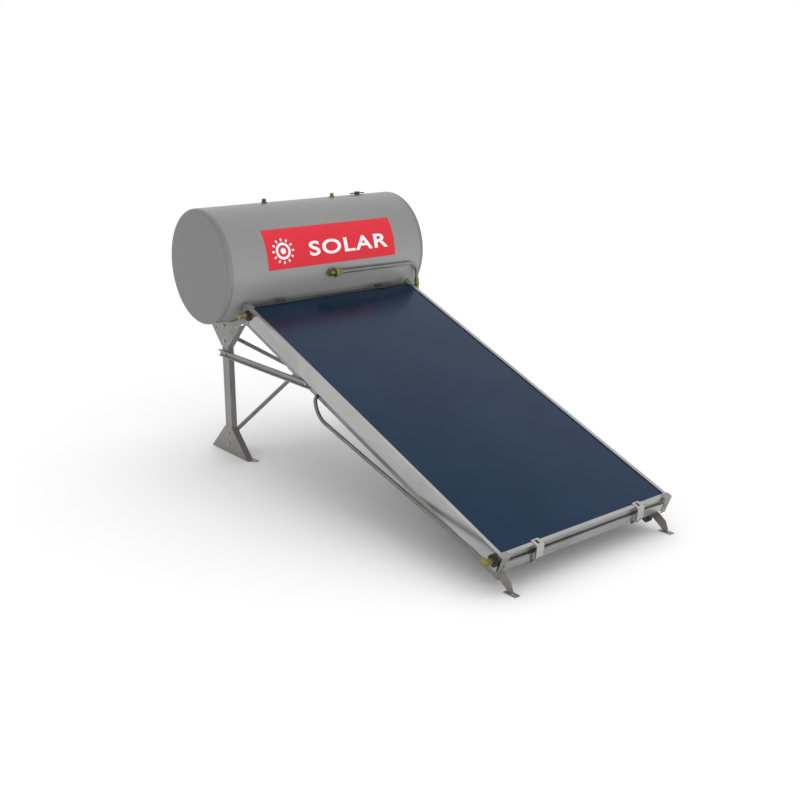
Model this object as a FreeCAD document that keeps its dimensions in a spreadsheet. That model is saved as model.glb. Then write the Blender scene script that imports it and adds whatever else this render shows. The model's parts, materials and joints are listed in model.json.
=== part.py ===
"""Thermosiphon solar water heater: a flat collector and a horizontal tank on a folded steel stand.

Millimetres. +Z is up, the collector faces -Y, and the origin is on the ground at the middle of the
footprint. Parts of the collector and its rails are drawn in the collector's own frame (x across,
y up the slope, z out of the glass, zero on the top plane at the lower edge), then tilted.
"""
import FreeCAD
import Part
import Sketcher
import math
import os
import re

SIZES = {
    # collector
    "tilt": 21,
    "low_y": -1148,
    "low_z": 158,
    "collector_width": 1020,
    "collector_length": 1915,
    "collector_depth": 81,
    "frame_wall": 2.5,
    "frame_lip": 17,
    "frame_ledge": 15,
    "frame_foot": 20,
    "web_thickness": 2,
    "ledge_drop": 9.5,
    "glass_edge_gap": 5.5,
    "glass_drop": 4.5,
    "glass_thickness": 3.2,
    "gasket_inner": 19,
    "gasket_fit": 0.2,
    "back_sheet_thickness": 1,
    "sheet_fit": 0.5,
    "slab_thickness": 25,
    "slab_gap": 8,
    "absorber_side_margin": 32,
    "absorber_end_margin": 44,
    "absorber_thickness": 1,
    "absorber_drop": 25,
    "riser_radius": 5,
    "riser_wall": 0.7,
    "riser_count": 8,
    "header_radius": 11,
    "header_wall": 1,
    "header_inset": 25,
    "header_drop": 40,
    "header_reach": 20,
    "header_blind_gap": 8,
    "grommet_radius": 26,
    "grommet_neck": 17,
    "grommet_thickness": 9,
    # brass fittings on the headers
    "fitting_fit": 0.3,
    "fitting_gap": 1,
    "fitting_hex": 15,
    "fitting_hex_length": 17,
    "plug_radius": 12.5,
    "plug_length": 45,
    "elbow_reach": 44,
    "elbow_radius": 12,
    "elbow_leg": 22,
    "elbow_nut_start": 8,
    "union_start": 16,
    "union_length": 24,
    "union_leg": 62,
    # tank
    "tank_y": 922,
    "tank_z": 1005,
    "tank_radius": 287,
    "tank_half_length": 609,
    "cap_depth": 30,
    "cap_rim": 15,
    "jacket_wall": 1.5,
    "foam_fit": 1,
    "foam_end_gap": 4,
    "inner_radius": 225,
    "inner_half_length": 548,
    "inner_dome": 100,
    "inner_wall": 2.5,
    "primary_radius": 233,
    "primary_half_length": 380,
    "primary_wall": 1.5,
    "hand_hole_radius": 60,
    "flange_radius": 80,
    "flange_thickness": 8,
    "flange_room": 6,
    "gasket_thickness": 3,
    "anode_radius": 13,
    "anode_stud_radius": 8,
    "anode_stud_fit": 0.1,
    "anode_length": 420,
    "anode_nut_height": 7,
    "flange_bolt_circle": 69,
    "flange_bolt_count": 6,
    "service_hole": 83,
    "cover_fit": 0.5,
    "cover_depth": 14,
    "cover_wall": 2,
    "label_x": 12,
    "label_width": 790,
    "label_low_angle": -1,
    "label_high_angle": 40,
    "label_thickness": 0.6,
    # water connections
    "plug_x": -216,
    "hot_outlet_x": 208,
    "relief_x": 375,
    "stub_radius": 10,
    "stub_bore": 7.5,
    "stub_height": 20,
    "filler_height": 20,
    "filler_hex": 12,
    "filler_hex_height": 10,
    "collar_radius": 14,
    "collar_height": 5,
    "hole_fit": 0.3,
    "foam_hole_fit": 1,
    "jacket_step": 3,
    "knob_base_height": 6,
    "knob_hub_radius": 15,
    "knob_wing_length": 88,
    "knob_wing_width": 14,
    "knob_wing_height": 5,
    "knob_height": 10,
    "knob_pin_radius": 4,
    "knob_pin_gap": 0.05,
    "knob_roof": 3,
    "tank_elbow_x": -14,
    "tank_elbow_y": 614,
    "tank_elbow_z": 952,
    "tank_elbow_radius": 15,
    "lock_nut_start": 8,
    "lock_nut_length": 12,
    "lock_nut_hex": 22,
    "big_union_start": 12,
    "big_union_length": 18,
    "big_union_hex": 24,
    "small_union_length": 26,
    "small_union_hex": 14,
    "inlet_x": 300,
    "return_x": -280,
    "return_outlet_angle": 30,
    "outlet_length": 24,
    # pipes
    "pipe_radius": 9,
    "pipe_bore": 7.5,
    "hot_pipe_z": 944,
    "hot_pipe_bend": 60,
    "return_run": 30,
    "return_small_bend": 60,
    "return_tight_bend": 25,
    "return_sag_bend": 100,
    "return_drop": 155,
    "return_turn_top": 1850,
    "return_turn_low": 1285,
    "return_rail_drop": 115,
    "return_side": 503,
    "return_sag": 1235,
    "return_sag_drop": 195,
    "return_middle": 794,
    "return_middle_drop": 153,
    "return_middle_side": 505,
    "rail_pipe_hole": 12,
    "return_end": 100,
    "return_long_bend": 400,
    # stand
    "stand_half": 473,
    "sheet": 2.5,
    "post_y": 933,
    "post_width": 60,
    "post_depth": 32,
    "post_bottom": 30,
    "post_top": 700,
    "neck_half": 34,
    "flange_width": 3.5,
    "flange_depth": 35,
    "saddle_bottom": 580,
    "saddle_knee_half": 160,
    "saddle_knee_z": 715,
    "saddle_wing": 262,
    "saddle_wing_root": 173,
    "saddle_wing_low": 728,
    "saddle_wing_top": 790,
    "saddle_nose": 40,
    "saddle_hole_near": 78,
    "saddle_hole_far": 112,
    "saddle_hole_rise": 34,
    "saddle_hole_low": 85,
    "pad_thickness": 3,
    "pad_fit": 0.1,
    "cradle_width": 40,
    "cradle_top": 762,
    "foot_height": 145,
    "foot_half": 178,
    "tab_thickness": 3,
    "tab_hole": 5.5,
    "tab_inner": 39,
    "tab_tip": 58,
    "tab_corner_out": 36,
    "tab_tip_out": 24,
    "tab_end": 55,
    "tab_hole_inset": 38,
    "tab_hole_in": 5,
    "rear_tab_length": 60,
    "strut_low": 525,
    "strut_height": 32,
    "strut_depth": 14,
    "strut_lip": 5,
    "strut_front": 145,
    "strut_heel": 27,
    "strut_toe_rise": 12,
    "strut_top_front": 197,
    "strut_rear": 982,
    "rail_depth": 60,
    "rail_width": 40,
    "rail_start": 4,
    "rail_end": 1560,
    "extension_width": 32,
    "extension_start": 1420,
    "extension_end": 1946,
    "cross_rail_half": 500,
    "cross_rail_front": 12,
    "cross_rail_depth": 8,
    "cross_rail_low": 75,
    "cross_rail_height": 42,
    "brace_width": 20,
    "brace_thickness": 3,
    "brace_lip": 7,
    "brace_lip_thickness": 2,
    "brace_lip_margin": 42,
    "brace_end_x": 456,
    "brace_high": 646,
    "brace_low": 76,
    "brace_overrun": 11,
    # corner brackets and clamps
    "bracket_outer": 515,
    "bracket_tab_inner": 468,
    "bracket_waist": 483,
    "bracket_waist_drop": 40,
    "bracket_drop": 88,
    "bracket_tab": 12,
    "bracket_slot_x": 491,
    "bracket_slot_width": 7,
    "bracket_slot_low": 53,
    "bracket_slot_height": 14,
    "bracket_hole_x": 500,
    "bracket_hole_drop": 78,
    "upper_bracket_start": 1876,
    "upper_bracket_end": 1945,
    "upper_tab_start": 1887,
    "upper_tab_end": 1930,
    "clamp_x": 307,
    "clamp_width": 40,
    "clamp_tab": 24,
    "clamp_thickness": 2.5,
    "clamp_fold": 16,
    "clamp_stand_off": 30,
    "clamp_bulge_drop": 52,
    "clamp_drop": 86,
    "clamp_hook": 2,
    "clamp_window": 14,
    "clamp_window_length": 22,
    "clamp_window_end": 6,
    "clamp_slot_top": 46,
    "clamp_slot_depth": 22,
    # front feet
    "heel_y": 120,
    "heel_z": 106,
    "calf_y": 74,
    "calf_z": 62,
    "sole_y": -16,
    "tip_y": 30,
    "toe_crease_y": 36,
    "toe_crease_z": 16,
    "shin_y": 22,
    "shin_z": 50,
    "knee_y": 14,
    "knee_z": 74,
    "crest_y": 30,
    "crest_z": 82,
    "toe_outer": 489,
    "toe_width": 28,
    "toe_length": 61,
    "toe_overlap": 4,
    "toe_slot": 20,
    "toe_slot_end": 18,
    "toe_hole_end": 11,
    "foot_bolt_near": 30,
    "foot_bolt_far": 65,
    "foot_bolt_drop": 105,
    # fasteners
    "bolt_radius": 4,
    "bolt_hole": 4.5,
    "bolt_head": 7.5,
    "bolt_head_height": 5.3,
    "nut_height": 6.5,
    "bolt_overrun": 2,
    "post_bolt_low": 27,
    "post_bolt_high": 109,
    "foot_bolt_high": 35,
    "foot_bolt_low": 90,
    "strut_bolt_front": 55,
    "extension_bolt_end": 16,
}

X_AXIS = FreeCAD.Vector(1, 0, 0)
Y_AXIS = FreeCAD.Vector(0, 1, 0)
TURNS = {
    "X": FreeCAD.Rotation(Y_AXIS, 90),
    "Y": FreeCAD.Rotation(X_AXIS, -90),
    "Z": FreeCAD.Rotation(),
}
BASE = ("Placement.Base.x", "Placement.Base.y", "Placement.Base.z")

doc = FreeCAD.newDocument("SolarWaterHeater")
sheet = doc.addObject("Spreadsheet::Sheet", "Sizes")
for row, (alias, number) in enumerate(SIZES.items(), 1):
    sheet.set("A%d" % row, alias)
    sheet.set("B%d" % row, str(number))
    sheet.setAlias("B%d" % row, alias)
doc.recompute()

parts = []


# ---------------------------------------------------------------- drawing helpers

def formula(text):
    """The formula with each dimension's name pointing at the sheet."""
    return re.sub("[a-z_]+", lambda word: ("Sizes." if word.group() in SIZES else "") + word.group(), text)


def value(text):
    """The number that a formula gives now."""
    return float(sheet.evalExpression(formula(text)))


def bind(item, texts):
    """Ties properties of an object to formulas."""
    for name, text in texts.items():
        item.setExpression(name, formula(text))


def new_body(label):
    """An empty body that will be written as a part of its own."""
    body = doc.addObject("PartDesign::Body", label)
    body.Label = label
    parts.append(body)
    return body


def box(body, kind, corner, sides):
    """A box added to or cut from a body, from its low corner and its three sides."""
    item = body.newObject("PartDesign::%sBox" % kind, body.Name + "Box")
    bind(item, dict(zip(("Length", "Width", "Height"), sides)))
    bind(item, dict(zip(BASE, corner)))
    return item


def rod(body, kind, axis, start, radius, length):
    """A cylinder added to or cut from a body, along an axis from the middle of one end."""
    item = body.newObject("PartDesign::%sCylinder" % kind, body.Name + "Rod")
    item.Placement = FreeCAD.Placement(FreeCAD.Vector(), TURNS[axis])
    bind(item, {"Radius": radius, "Height": length})
    bind(item, dict(zip(BASE, start)))
    return item


def tube(body, axis, start, radius, bore, length):
    """A hollow cylinder added to a body, its bore cut right through whatever is in the way."""
    rod(body, "Additive", axis, start, radius, length)
    rod(body, "Subtractive", axis, start, bore, length)


def ball(body, centre, radius):
    """A sphere added to a body, such as the corner of an elbow."""
    item = body.newObject("PartDesign::AdditiveSphere", body.Name + "Ball")
    bind(item, {"Radius": radius})
    bind(item, dict(zip(BASE, centre)))


def hexagon(body, axis, start, circumradius, height):
    """A hexagonal prism added to a body, along an axis."""
    item = body.newObject("PartDesign::AdditivePrism", body.Name + "Hexagon")
    item.Polygon = 6
    item.Placement = FreeCAD.Placement(FreeCAD.Vector(), TURNS[axis])
    bind(item, {"Circumradius": circumradius, "Height": height})
    bind(item, dict(zip(BASE, start)))
    return item


def plate(body, role, corners, offset, thickness):
    """A flat plate: a closed outline on an origin plane, moved out by an offset and padded."""
    sketch = body.newObject("Sketcher::SketchObject", body.Name + "Outline")
    planes = [item for item in body.Origin.OriginFeatures if item.Role == role]
    sketch.AttachmentSupport = (planes[0], "")
    sketch.MapMode = "FlatFace"
    points = [FreeCAD.Vector(value(across), value(up), 0) for across, up in corners]
    count = len(points)
    for index, point in enumerate(points):
        sketch.addGeometry(Part.LineSegment(point, points[(index + 1) % count]))
    for index in range(count):
        sketch.addConstraint(Sketcher.Constraint("Coincident", index, 2, (index + 1) % count, 1))
    for index, texts in enumerate(corners):
        for way, text in zip(("DistanceX", "DistanceY"), texts):
            number = sketch.addConstraint(Sketcher.Constraint(way, -1, 1, index, 1, value(text)))
            sketch.setExpression("Constraints[%d]" % number, formula(text))
    bind(sketch, {"AttachmentOffset.Base.z": offset})
    pad = body.newObject("PartDesign::Pad", body.Name + "Pad")
    pad.Profile = sketch
    bind(pad, {"Length": thickness})
    sketch.Visibility = False
    return pad


def tilt(item):
    """Sets an object drawn in the collector's frame in its place on the stand."""
    item.Placement = FreeCAD.Placement(FreeCAD.Vector(), FreeCAD.Rotation(X_AXIS, 1))
    bind(item, {"Placement.Rotation.Angle": "tilt", BASE[1]: "low_y", BASE[2]: "low_z"})


def mirror(left):
    """The right-hand twin of a left-hand part."""
    right = doc.addObject("Part::Mirroring", left.Name.replace("left", "right"))
    right.Label = left.Label.replace("left", "right")
    right.Source = left
    right.Base = FreeCAD.Vector()
    right.Normal = X_AXIS
    parts.append(right)
    return right


def group(label, pieces):
    """Several equal pieces kept as one part."""
    whole = doc.addObject("Part::Compound", label)
    whole.Label = label
    whole.Links = pieces
    parts.append(whole)
    return whole


def cut(label, base, tool):
    """A part made by cutting one object with another."""
    item = doc.addObject("Part::Cut", label)
    item.Label = label
    item.Base = base
    item.Tool = tool
    parts.append(item)
    return item


def cylinder(name, axis, start, radius, length):
    """A plain cylinder along an axis, from the middle of one end."""
    item = doc.addObject("Part::Cylinder", name)
    item.Placement = FreeCAD.Placement(FreeCAD.Vector(), TURNS[axis])
    bind(item, {"Radius": radius, "Height": length})
    bind(item, dict(zip(BASE, start)))
    return item


def merge(name, pieces):
    """Several objects as one cutting tool."""
    item = doc.addObject("Part::MultiFuse", name)
    item.Shapes = pieces
    return item


def slope_y(along, out):
    """Formula for the world y of a point of the collector's frame."""
    return "low_y + (%s) * cos(tilt * 1deg) - (%s) * sin(tilt * 1deg)" % (along, out)


def slope_z(along, out):
    """Formula for the world z of a point of the collector's frame."""
    return "low_z + (%s) * sin(tilt * 1deg) + (%s) * cos(tilt * 1deg)" % (along, out)


def world_point(x, along, out):
    """World position of a point of the collector's frame."""
    return FreeCAD.Vector(value(x), value(slope_y(along, out)), value(slope_z(along, out)))


def tube_along(route, radius):
    """A solid rod along straight runs joined by tangent arcs.

    The route is a list of world points, each with the radius of the arc that goes round it.
    """
    points = [point for point, bend in route]
    edges = []
    start = points[0]
    for index in range(1, len(points) - 1):
        corner, bend = route[index]
        into = (corner - points[index - 1]).normalize()
        out = (points[index + 1] - corner).normalize()
        turn = into.getAngle(out)
        reach = bend * math.tan(turn / 2)
        first = corner - into * reach
        last = corner + out * reach
        inward = (out - into).normalize()
        middle = corner + inward * (bend / math.cos(turn / 2) - bend)
        edges.append(Part.LineSegment(start, first).toShape())
        edges.append(Part.Arc(first, middle, last).toShape())
        start = last
    edges.append(Part.LineSegment(start, points[-1]).toShape())
    path = Part.Wire(edges)
    ring = Part.Wire([Part.makeCircle(radius, points[0], points[1] - points[0])])
    return path.makePipeShell([ring], True, False)


def bent_pipe(label, route):
    """A hollow pipe along a route."""
    outer = tube_along(route, value("pipe_radius"))
    inner = tube_along(route, value("pipe_bore"))
    pipe = doc.addObject("Part::Feature", label)
    pipe.Label = label
    pipe.Shape = outer.cut(inner)
    parts.append(pipe)


# ---------------------------------------------------------------- fasteners

def bolt(name, axis, head_at, grip, way):
    """One hexagon bolt with its nut.

    `head_at` is the middle of the head's inner face, `grip` the distance from there to the nut, and
    `way` +1 or -1 the direction along the axis from the head to the nut.
    """
    turn = TURNS[axis]
    if way < 0:
        turn = turn.multiply(FreeCAD.Rotation(X_AXIS, 180))
    head_start = "- bolt_head_height" if way > 0 else "+ bolt_head_height"
    nut_start = ("+ " if way > 0 else "- ") + grip
    spans = (
        ("shank", "Part::Cylinder", head_start, "bolt_head_height + %s + nut_height + bolt_overrun" % grip),
        ("head", "Part::Prism", head_start, "bolt_head_height"),
        ("nut", "Part::Prism", nut_start, "nut_height"),
    )
    pieces = []
    for part_name, kind, start, length in spans:
        item = doc.addObject(kind, "%s_%s" % (name, part_name))
        item.Placement = FreeCAD.Placement(FreeCAD.Vector(), turn)
        spot = dict(zip("XYZ", head_at))
        spot[axis] = "%s %s" % (spot[axis], start)
        bind(item, dict(zip(BASE, spot.values())))
        bind(item, {"Height": length})
        if kind == "Part::Prism":
            item.Polygon = 6
            bind(item, {"Circumradius": "bolt_head"})
        else:
            bind(item, {"Radius": "bolt_radius"})
        pieces.append(item)
    return merge(name, pieces)


POST_BOLTS = ("saddle_bottom + post_bolt_low", "saddle_bottom + post_bolt_high",
              "foot_height - foot_bolt_high", "foot_height - foot_bolt_low")
STRUT_BOLT_POST = ("post_y", "strut_low + strut_height / 2")
STRUT_BOLT_RAIL = ("strut_front + strut_bolt_front", "strut_low + strut_height / 2")
EXTENSION_DEPTH = "(rail_depth - 2 * sheet)"
EXTENSION_BOLT = ("extension_end - extension_bolt_end", "-collector_depth - rail_depth / 2")
LAP_BOLT = ("(extension_start + rail_end) / 2", "-collector_depth - rail_depth / 2")
FOOT_BOLTS = (("foot_bolt_near", "-foot_bolt_drop"), ("foot_bolt_far", "-foot_bolt_drop"))


def stand_bolts():
    """Every bolt of the stand, left and right alike."""
    outer = "(stand_half + sheet)"
    places = [("post_y", height, outer, "2 * sheet") for height in POST_BOLTS]
    places.append(STRUT_BOLT_POST + (outer, "2 * sheet"))
    places.append(STRUT_BOLT_RAIL + (outer, "2 * sheet"))
    places.append((slope_y(*EXTENSION_BOLT), slope_z(*EXTENSION_BOLT), outer, "3 * sheet"))
    places.append((slope_y(*LAP_BOLT), slope_z(*LAP_BOLT), "stand_half", "2 * sheet"))
    for spot in FOOT_BOLTS:
        places.append((slope_y(*spot), slope_z(*spot), outer, "2 * sheet"))
    pieces = []
    for index, (y, z, face, grip) in enumerate(places):
        pieces.append(bolt("bolt_left_%d" % index, "X", ("-" + face, y, z), grip, 1))
        pieces.append(bolt("bolt_right_%d" % index, "X", (face, y, z), grip, -1))
    flange = "post_y + post_width / 2"
    behind = flange + " + brace_thickness"
    grip = "(sheet + brace_thickness)"
    pieces.append(bolt("brace_bolt_high_left", "Y", ("-brace_end_x", flange, "brace_high"), grip, -1))
    pieces.append(bolt("brace_bolt_low_right", "Y", ("brace_end_x", flange, "brace_low"), grip, -1))
    pieces.append(bolt("brace_bolt_low_left", "Y", ("-brace_end_x", behind, "brace_low"), grip, -1))
    pieces.append(bolt("brace_bolt_high_right", "Y", ("brace_end_x", behind, "brace_high"), grip, -1))
    group("stand_bolts", pieces)


# ---------------------------------------------------------------- collector

# Strips of the frame's section: reach inwards, low side, height, and how far an end extrusion's strip
# stops short of the frame's corner.
FRAME_STRIPS = (
    ("frame_foot", "-collector_depth", "web_thickness", "frame_foot"),
    ("frame_wall", "-collector_depth + web_thickness", "collector_depth - ledge_drop - 2 * web_thickness",
     "frame_wall"),
    ("frame_ledge", "-ledge_drop - web_thickness", "web_thickness", "frame_ledge"),
    ("frame_wall", "-ledge_drop", "ledge_drop - frame_wall", "frame_lip"),
    ("frame_lip", "-frame_wall", "frame_wall", "frame_lip"),
)
LOWER_END = "header_inset"
UPPER_END = "collector_length - header_inset"


def frame_side(label, way, holes):
    """Side extrusion of the frame, on the left for way -1, with holes for the headers' ends."""
    body = new_body(label)
    for reach, low, height, short in FRAME_STRIPS:
        corner = "-collector_width / 2" if way < 0 else "collector_width / 2 - " + reach
        box(body, "Additive", (corner, "0", low), (reach, "collector_length", height))
    for along in holes:
        start = ("%d * collector_width / 2 - frame_wall" % way, along, "-header_drop")
        rod(body, "Subtractive", "X", start, "grommet_neck + fitting_fit", "2 * frame_wall")
    tilt(body)


def frame_end(label, way):
    """Lower (way 1) or upper (way -1) extrusion of the frame, let in between the side extrusions."""
    body = new_body(label)
    for reach, low, height, short in FRAME_STRIPS:
        corner = "0" if way > 0 else "collector_length - " + reach
        box(body, "Additive", ("-collector_width / 2 + " + short, corner, low),
            ("collector_width - 2 * " + short, reach, height))
    tilt(body)


def cover_glass():
    """The tempered pane."""
    body = new_body("cover_glass")
    side = "collector_width - 2 * glass_edge_gap"
    length = "collector_length - 2 * glass_edge_gap"
    corner = ("-collector_width / 2 + glass_edge_gap", "glass_edge_gap", "-glass_drop - glass_thickness")
    box(body, "Additive", corner, (side, length, "glass_thickness"))
    tilt(body)


def glass_gasket():
    """The rubber ring around the pane, slotted for it."""
    body = new_body("glass_gasket")
    edge = "(frame_wall + gasket_fit)"
    box(body, "Additive",
        ("-collector_width / 2 + " + edge, edge, "-ledge_drop"),
        ("collector_width - 2 * " + edge, "collector_length - 2 * " + edge, "ledge_drop - frame_wall"))
    box(body, "Subtractive",
        ("-collector_width / 2 + gasket_inner", "gasket_inner", "-collector_depth"),
        ("collector_width - 2 * gasket_inner", "collector_length - 2 * gasket_inner", "collector_depth"))
    box(body, "Subtractive",
        ("-collector_width / 2 + glass_edge_gap", "glass_edge_gap", "-glass_drop - glass_thickness"),
        ("collector_width - 2 * glass_edge_gap", "collector_length - 2 * glass_edge_gap", "glass_thickness"))
    tilt(body)


def absorber_plate():
    """The dark selective sheet under the glass."""
    body = new_body("absorber_plate")
    corner = ("-collector_width / 2 + absorber_side_margin", "absorber_end_margin",
              "-absorber_drop - absorber_thickness")
    sides = ("collector_width - 2 * absorber_side_margin", "collector_length - 2 * absorber_end_margin",
             "absorber_thickness")
    box(body, "Additive", corner, sides)
    tilt(body)


def riser_tubes():
    """The row of tubes on the back of the absorber plate, from header to header."""
    pieces = []
    for index in range(SIZES["riser_count"]):
        body = doc.addObject("PartDesign::Body", "riser_%d" % index)
        x = "(%d - (riser_count - 1) / 2) * collector_width / riser_count" % index
        gap = "(header_inset + header_radius + fitting_gap)"
        start = (x, gap, "-absorber_drop - absorber_thickness - riser_radius")
        tube(body, "Y", start, "riser_radius", "riser_radius - riser_wall", "collector_length - 2 * " + gap)
        tilt(body)
        pieces.append(body)
    group("riser_tubes", pieces)


def header_upper():
    """The manifold across the collector's top, open at both ends."""
    body = new_body("header_upper")
    start = ("-collector_width / 2 - header_reach", UPPER_END, "-header_drop")
    tube(body, "X", start, "header_radius", "header_radius - header_wall",
         "collector_width + 2 * header_reach")
    tilt(body)


def header_lower():
    """The manifold across the collector's bottom, open on the left and closed inside the right side."""
    body = new_body("header_lower")
    start = ("-collector_width / 2 - header_reach", LOWER_END, "-header_drop")
    length = "collector_width + header_reach - frame_wall - header_blind_gap"
    rod(body, "Additive", "X", start, "header_radius", length)
    rod(body, "Subtractive", "X", start, "header_radius - header_wall", length + " - header_wall")
    tilt(body)


def collector_insulation():
    """The mineral wool slab behind the tubes."""
    body = new_body("collector_insulation")
    floor = "-collector_depth + web_thickness + back_sheet_thickness + sheet_fit"
    gap = "(frame_wall + slab_gap)"
    box(body, "Additive", ("-collector_width / 2 + " + gap, gap, floor),
        ("collector_width - 2 * " + gap, "collector_length - 2 * " + gap, "slab_thickness"))
    tilt(body)


def back_sheet():
    """The thin sheet that closes the collector's back, resting on the frame's foot."""
    body = new_body("back_sheet")
    gap = "(frame_wall + sheet_fit)"
    box(body, "Additive", ("-collector_width / 2 + " + gap, gap, "-collector_depth + web_thickness"),
        ("collector_width - 2 * " + gap, "collector_length - 2 * " + gap, "back_sheet_thickness"))
    tilt(body)


def header_grommets():
    """Rubber bushes where the headers leave the frame: both ends on the left, the upper one on the right."""
    pieces = []
    for index, (way, along) in enumerate(((-1, LOWER_END), (-1, UPPER_END), (1, UPPER_END))):
        body = doc.addObject("PartDesign::Body", "grommet_%d" % index)
        outer = "-collector_width / 2 - grommet_thickness" if way < 0 else "collector_width / 2"
        neck = "-collector_width / 2" if way < 0 else "collector_width / 2 - frame_wall"
        rod(body, "Additive", "X", (outer, along, "-header_drop"), "grommet_radius", "grommet_thickness")
        rod(body, "Additive", "X", (neck, along, "-header_drop"), "grommet_neck", "frame_wall")
        start = ("-collector_width" if way < 0 else "0", along, "-header_drop")
        rod(body, "Subtractive", "X", start, "header_radius + fitting_fit", "collector_width")
        tilt(body)
        pieces.append(body)
    group("header_grommets", pieces)


def header_plug():
    """Brass compression cap on the upper left header end."""
    body = new_body("header_plug")
    face = "-(collector_width / 2 + grommet_thickness + fitting_gap)"
    rod(body, "Additive", "X", (face + " - plug_length", UPPER_END, "-header_drop"), "plug_radius",
        "plug_length")
    hexagon(body, "X", (face + " - fitting_hex_length", UPPER_END, "-header_drop"), "fitting_hex",
            "fitting_hex_length")
    socket = ("-collector_width / 2 - header_reach - fitting_gap", UPPER_END, "-header_drop")
    rod(body, "Subtractive", "X", socket, "header_radius + fitting_fit", "collector_width / 2")
    tilt(body)


def return_elbow():
    """Brass elbow on the lower left header end, turned up the slope, with a nut at each mouth."""
    body = new_body("return_elbow")
    face = "-(collector_width / 2 + grommet_thickness + fitting_gap)"
    corner = "-(collector_width / 2 + elbow_reach)"
    centre = (corner, LOWER_END, "-header_drop")
    hexagon(body, "X", (face + " - fitting_hex_length", LOWER_END, "-header_drop"), "fitting_hex",
            "fitting_hex_length")
    rod(body, "Additive", "X", centre, "elbow_radius", "elbow_reach - grommet_thickness - fitting_gap")
    ball(body, centre, "elbow_radius")
    rod(body, "Additive", "Y", centre, "elbow_radius", "elbow_leg")
    hexagon(body, "Y", (corner, LOWER_END + " + elbow_nut_start", "-header_drop"), "fitting_hex",
            "elbow_leg - elbow_nut_start")
    socket = ("-collector_width / 2 - header_reach - fitting_gap", LOWER_END, "-header_drop")
    rod(body, "Subtractive", "X", socket, "header_radius + fitting_fit", "collector_width / 2")
    rod(body, "Subtractive", "X", centre, "pipe_bore", "elbow_reach")
    rod(body, "Subtractive", "Y", centre, "pipe_bore", "elbow_leg")
    tilt(body)


def flow_elbow():
    """Brass elbow on the upper right header end, turned straight up, with a union nut for the pipe."""
    body = new_body("flow_elbow")
    y = slope_y(UPPER_END, "-header_drop")
    z = slope_z(UPPER_END, "-header_drop")
    face = "collector_width / 2 + grommet_thickness + fitting_gap"
    corner = "collector_width / 2 + elbow_reach"
    hexagon(body, "X", (face, y, z), "fitting_hex", "fitting_hex_length")
    rod(body, "Additive", "X", (face, y, z), "elbow_radius", "elbow_reach - grommet_thickness - fitting_gap")
    ball(body, (corner, y, z), "elbow_radius")
    rod(body, "Additive", "Z", (corner, y, z), "elbow_radius", "union_leg")
    hexagon(body, "Z", (corner, y, z + " + union_start"), "fitting_hex", "union_length")
    rod(body, "Subtractive", "X", ("0", y, z), "header_radius + fitting_fit",
        "collector_width / 2 + header_reach + fitting_gap")
    rod(body, "Subtractive", "X", ("collector_width / 2", y, z), "pipe_bore", "elbow_reach")
    rod(body, "Subtractive", "Z", (corner, y, z), "pipe_bore", "union_leg")


# ---------------------------------------------------------------- tank

def can(name, radius, length, rim, both_ends):
    """A solid drum along X from zero, with the far rim, or both rims, rounded."""
    drum = doc.addObject("Part::Cylinder", name + "_drum")
    drum.Placement = FreeCAD.Placement(FreeCAD.Vector(), TURNS["X"])
    bind(drum, {"Radius": radius, "Height": length})
    doc.recompute()
    ends = (0, value(length)) if both_ends else (value(length),)
    rims = []
    for number, edge in enumerate(drum.Shape.Edges, 1):
        span = edge.BoundBox
        if any(abs(span.XMin - end) < 0.01 and abs(span.XMax - end) < 0.01 for end in ends):
            rims.append((number, value(rim), value(rim)))
    rounded = doc.addObject("Part::Fillet", name)
    rounded.Base = drum
    rounded.Edges = rims
    return rounded


def place_on_tank(item, x):
    """Puts an object drawn from zero along X on the tank's axis."""
    bind(item, {BASE[0]: x, BASE[1]: "tank_y", BASE[2]: "tank_z"})


def stub_holes(name, fit):
    """Cylinders through the jacket and foam at every water connection, `fit` wider than the stubs."""
    radius = "stub_radius + " + fit
    start = "(primary_radius + fitting_gap)"
    holes = [cylinder("%s_%s" % (name, x), "Z", (x, "tank_y", "tank_z + " + start), radius, "tank_radius")
             for x in ("plug_x", "hot_outlet_x", "relief_x")]
    holes.append(cylinder(name + "_front", "Y", ("tank_elbow_x", "tank_y - tank_radius", "tank_elbow_z"),
                          radius,
                          "tank_radius - primary_radius + lock_nut_length"))
    holes.append(cylinder(name + "_inlet", "Z", ("inlet_x", "tank_y", "tank_z - 2 * tank_radius"), radius,
                          "2 * tank_radius - " + start))
    back = cylinder(name + "_back", "Z", ("return_x", "tank_y", "tank_z"), radius, "tank_radius")
    aim_down(back, start)
    holes.append(back)
    return merge(name, holes)


def aim_down(item, start):
    """Turns an upright object to point down and forward out of the tank, from a distance off its axis."""
    item.Placement = FreeCAD.Placement(FreeCAD.Vector(), FreeCAD.Rotation(X_AXIS, 180))
    bind(item, {
        "Placement.Rotation.Angle": "180 - return_outlet_angle",
        BASE[0]: "return_x",
        BASE[1]: "tank_y - %s * sin(return_outlet_angle * 1deg)" % start,
        BASE[2]: "tank_z - %s * cos(return_outlet_angle * 1deg)" % start,
    })


def tank_jacket():
    """The outer sheet, a rolled tube between the two end caps."""
    length = "2 * (tank_half_length - cap_depth)"
    low = ("-(tank_half_length - cap_depth)", "tank_y", "tank_z")
    outer = cylinder("jacket_outer", "X", low, "tank_radius", length)
    inner = cylinder("jacket_inner", "X", low, "tank_radius - jacket_wall", length)
    cut("tank_jacket", outer, merge("jacket_tool", [inner, stub_holes("jacket_holes", "hole_fit")]))


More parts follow.
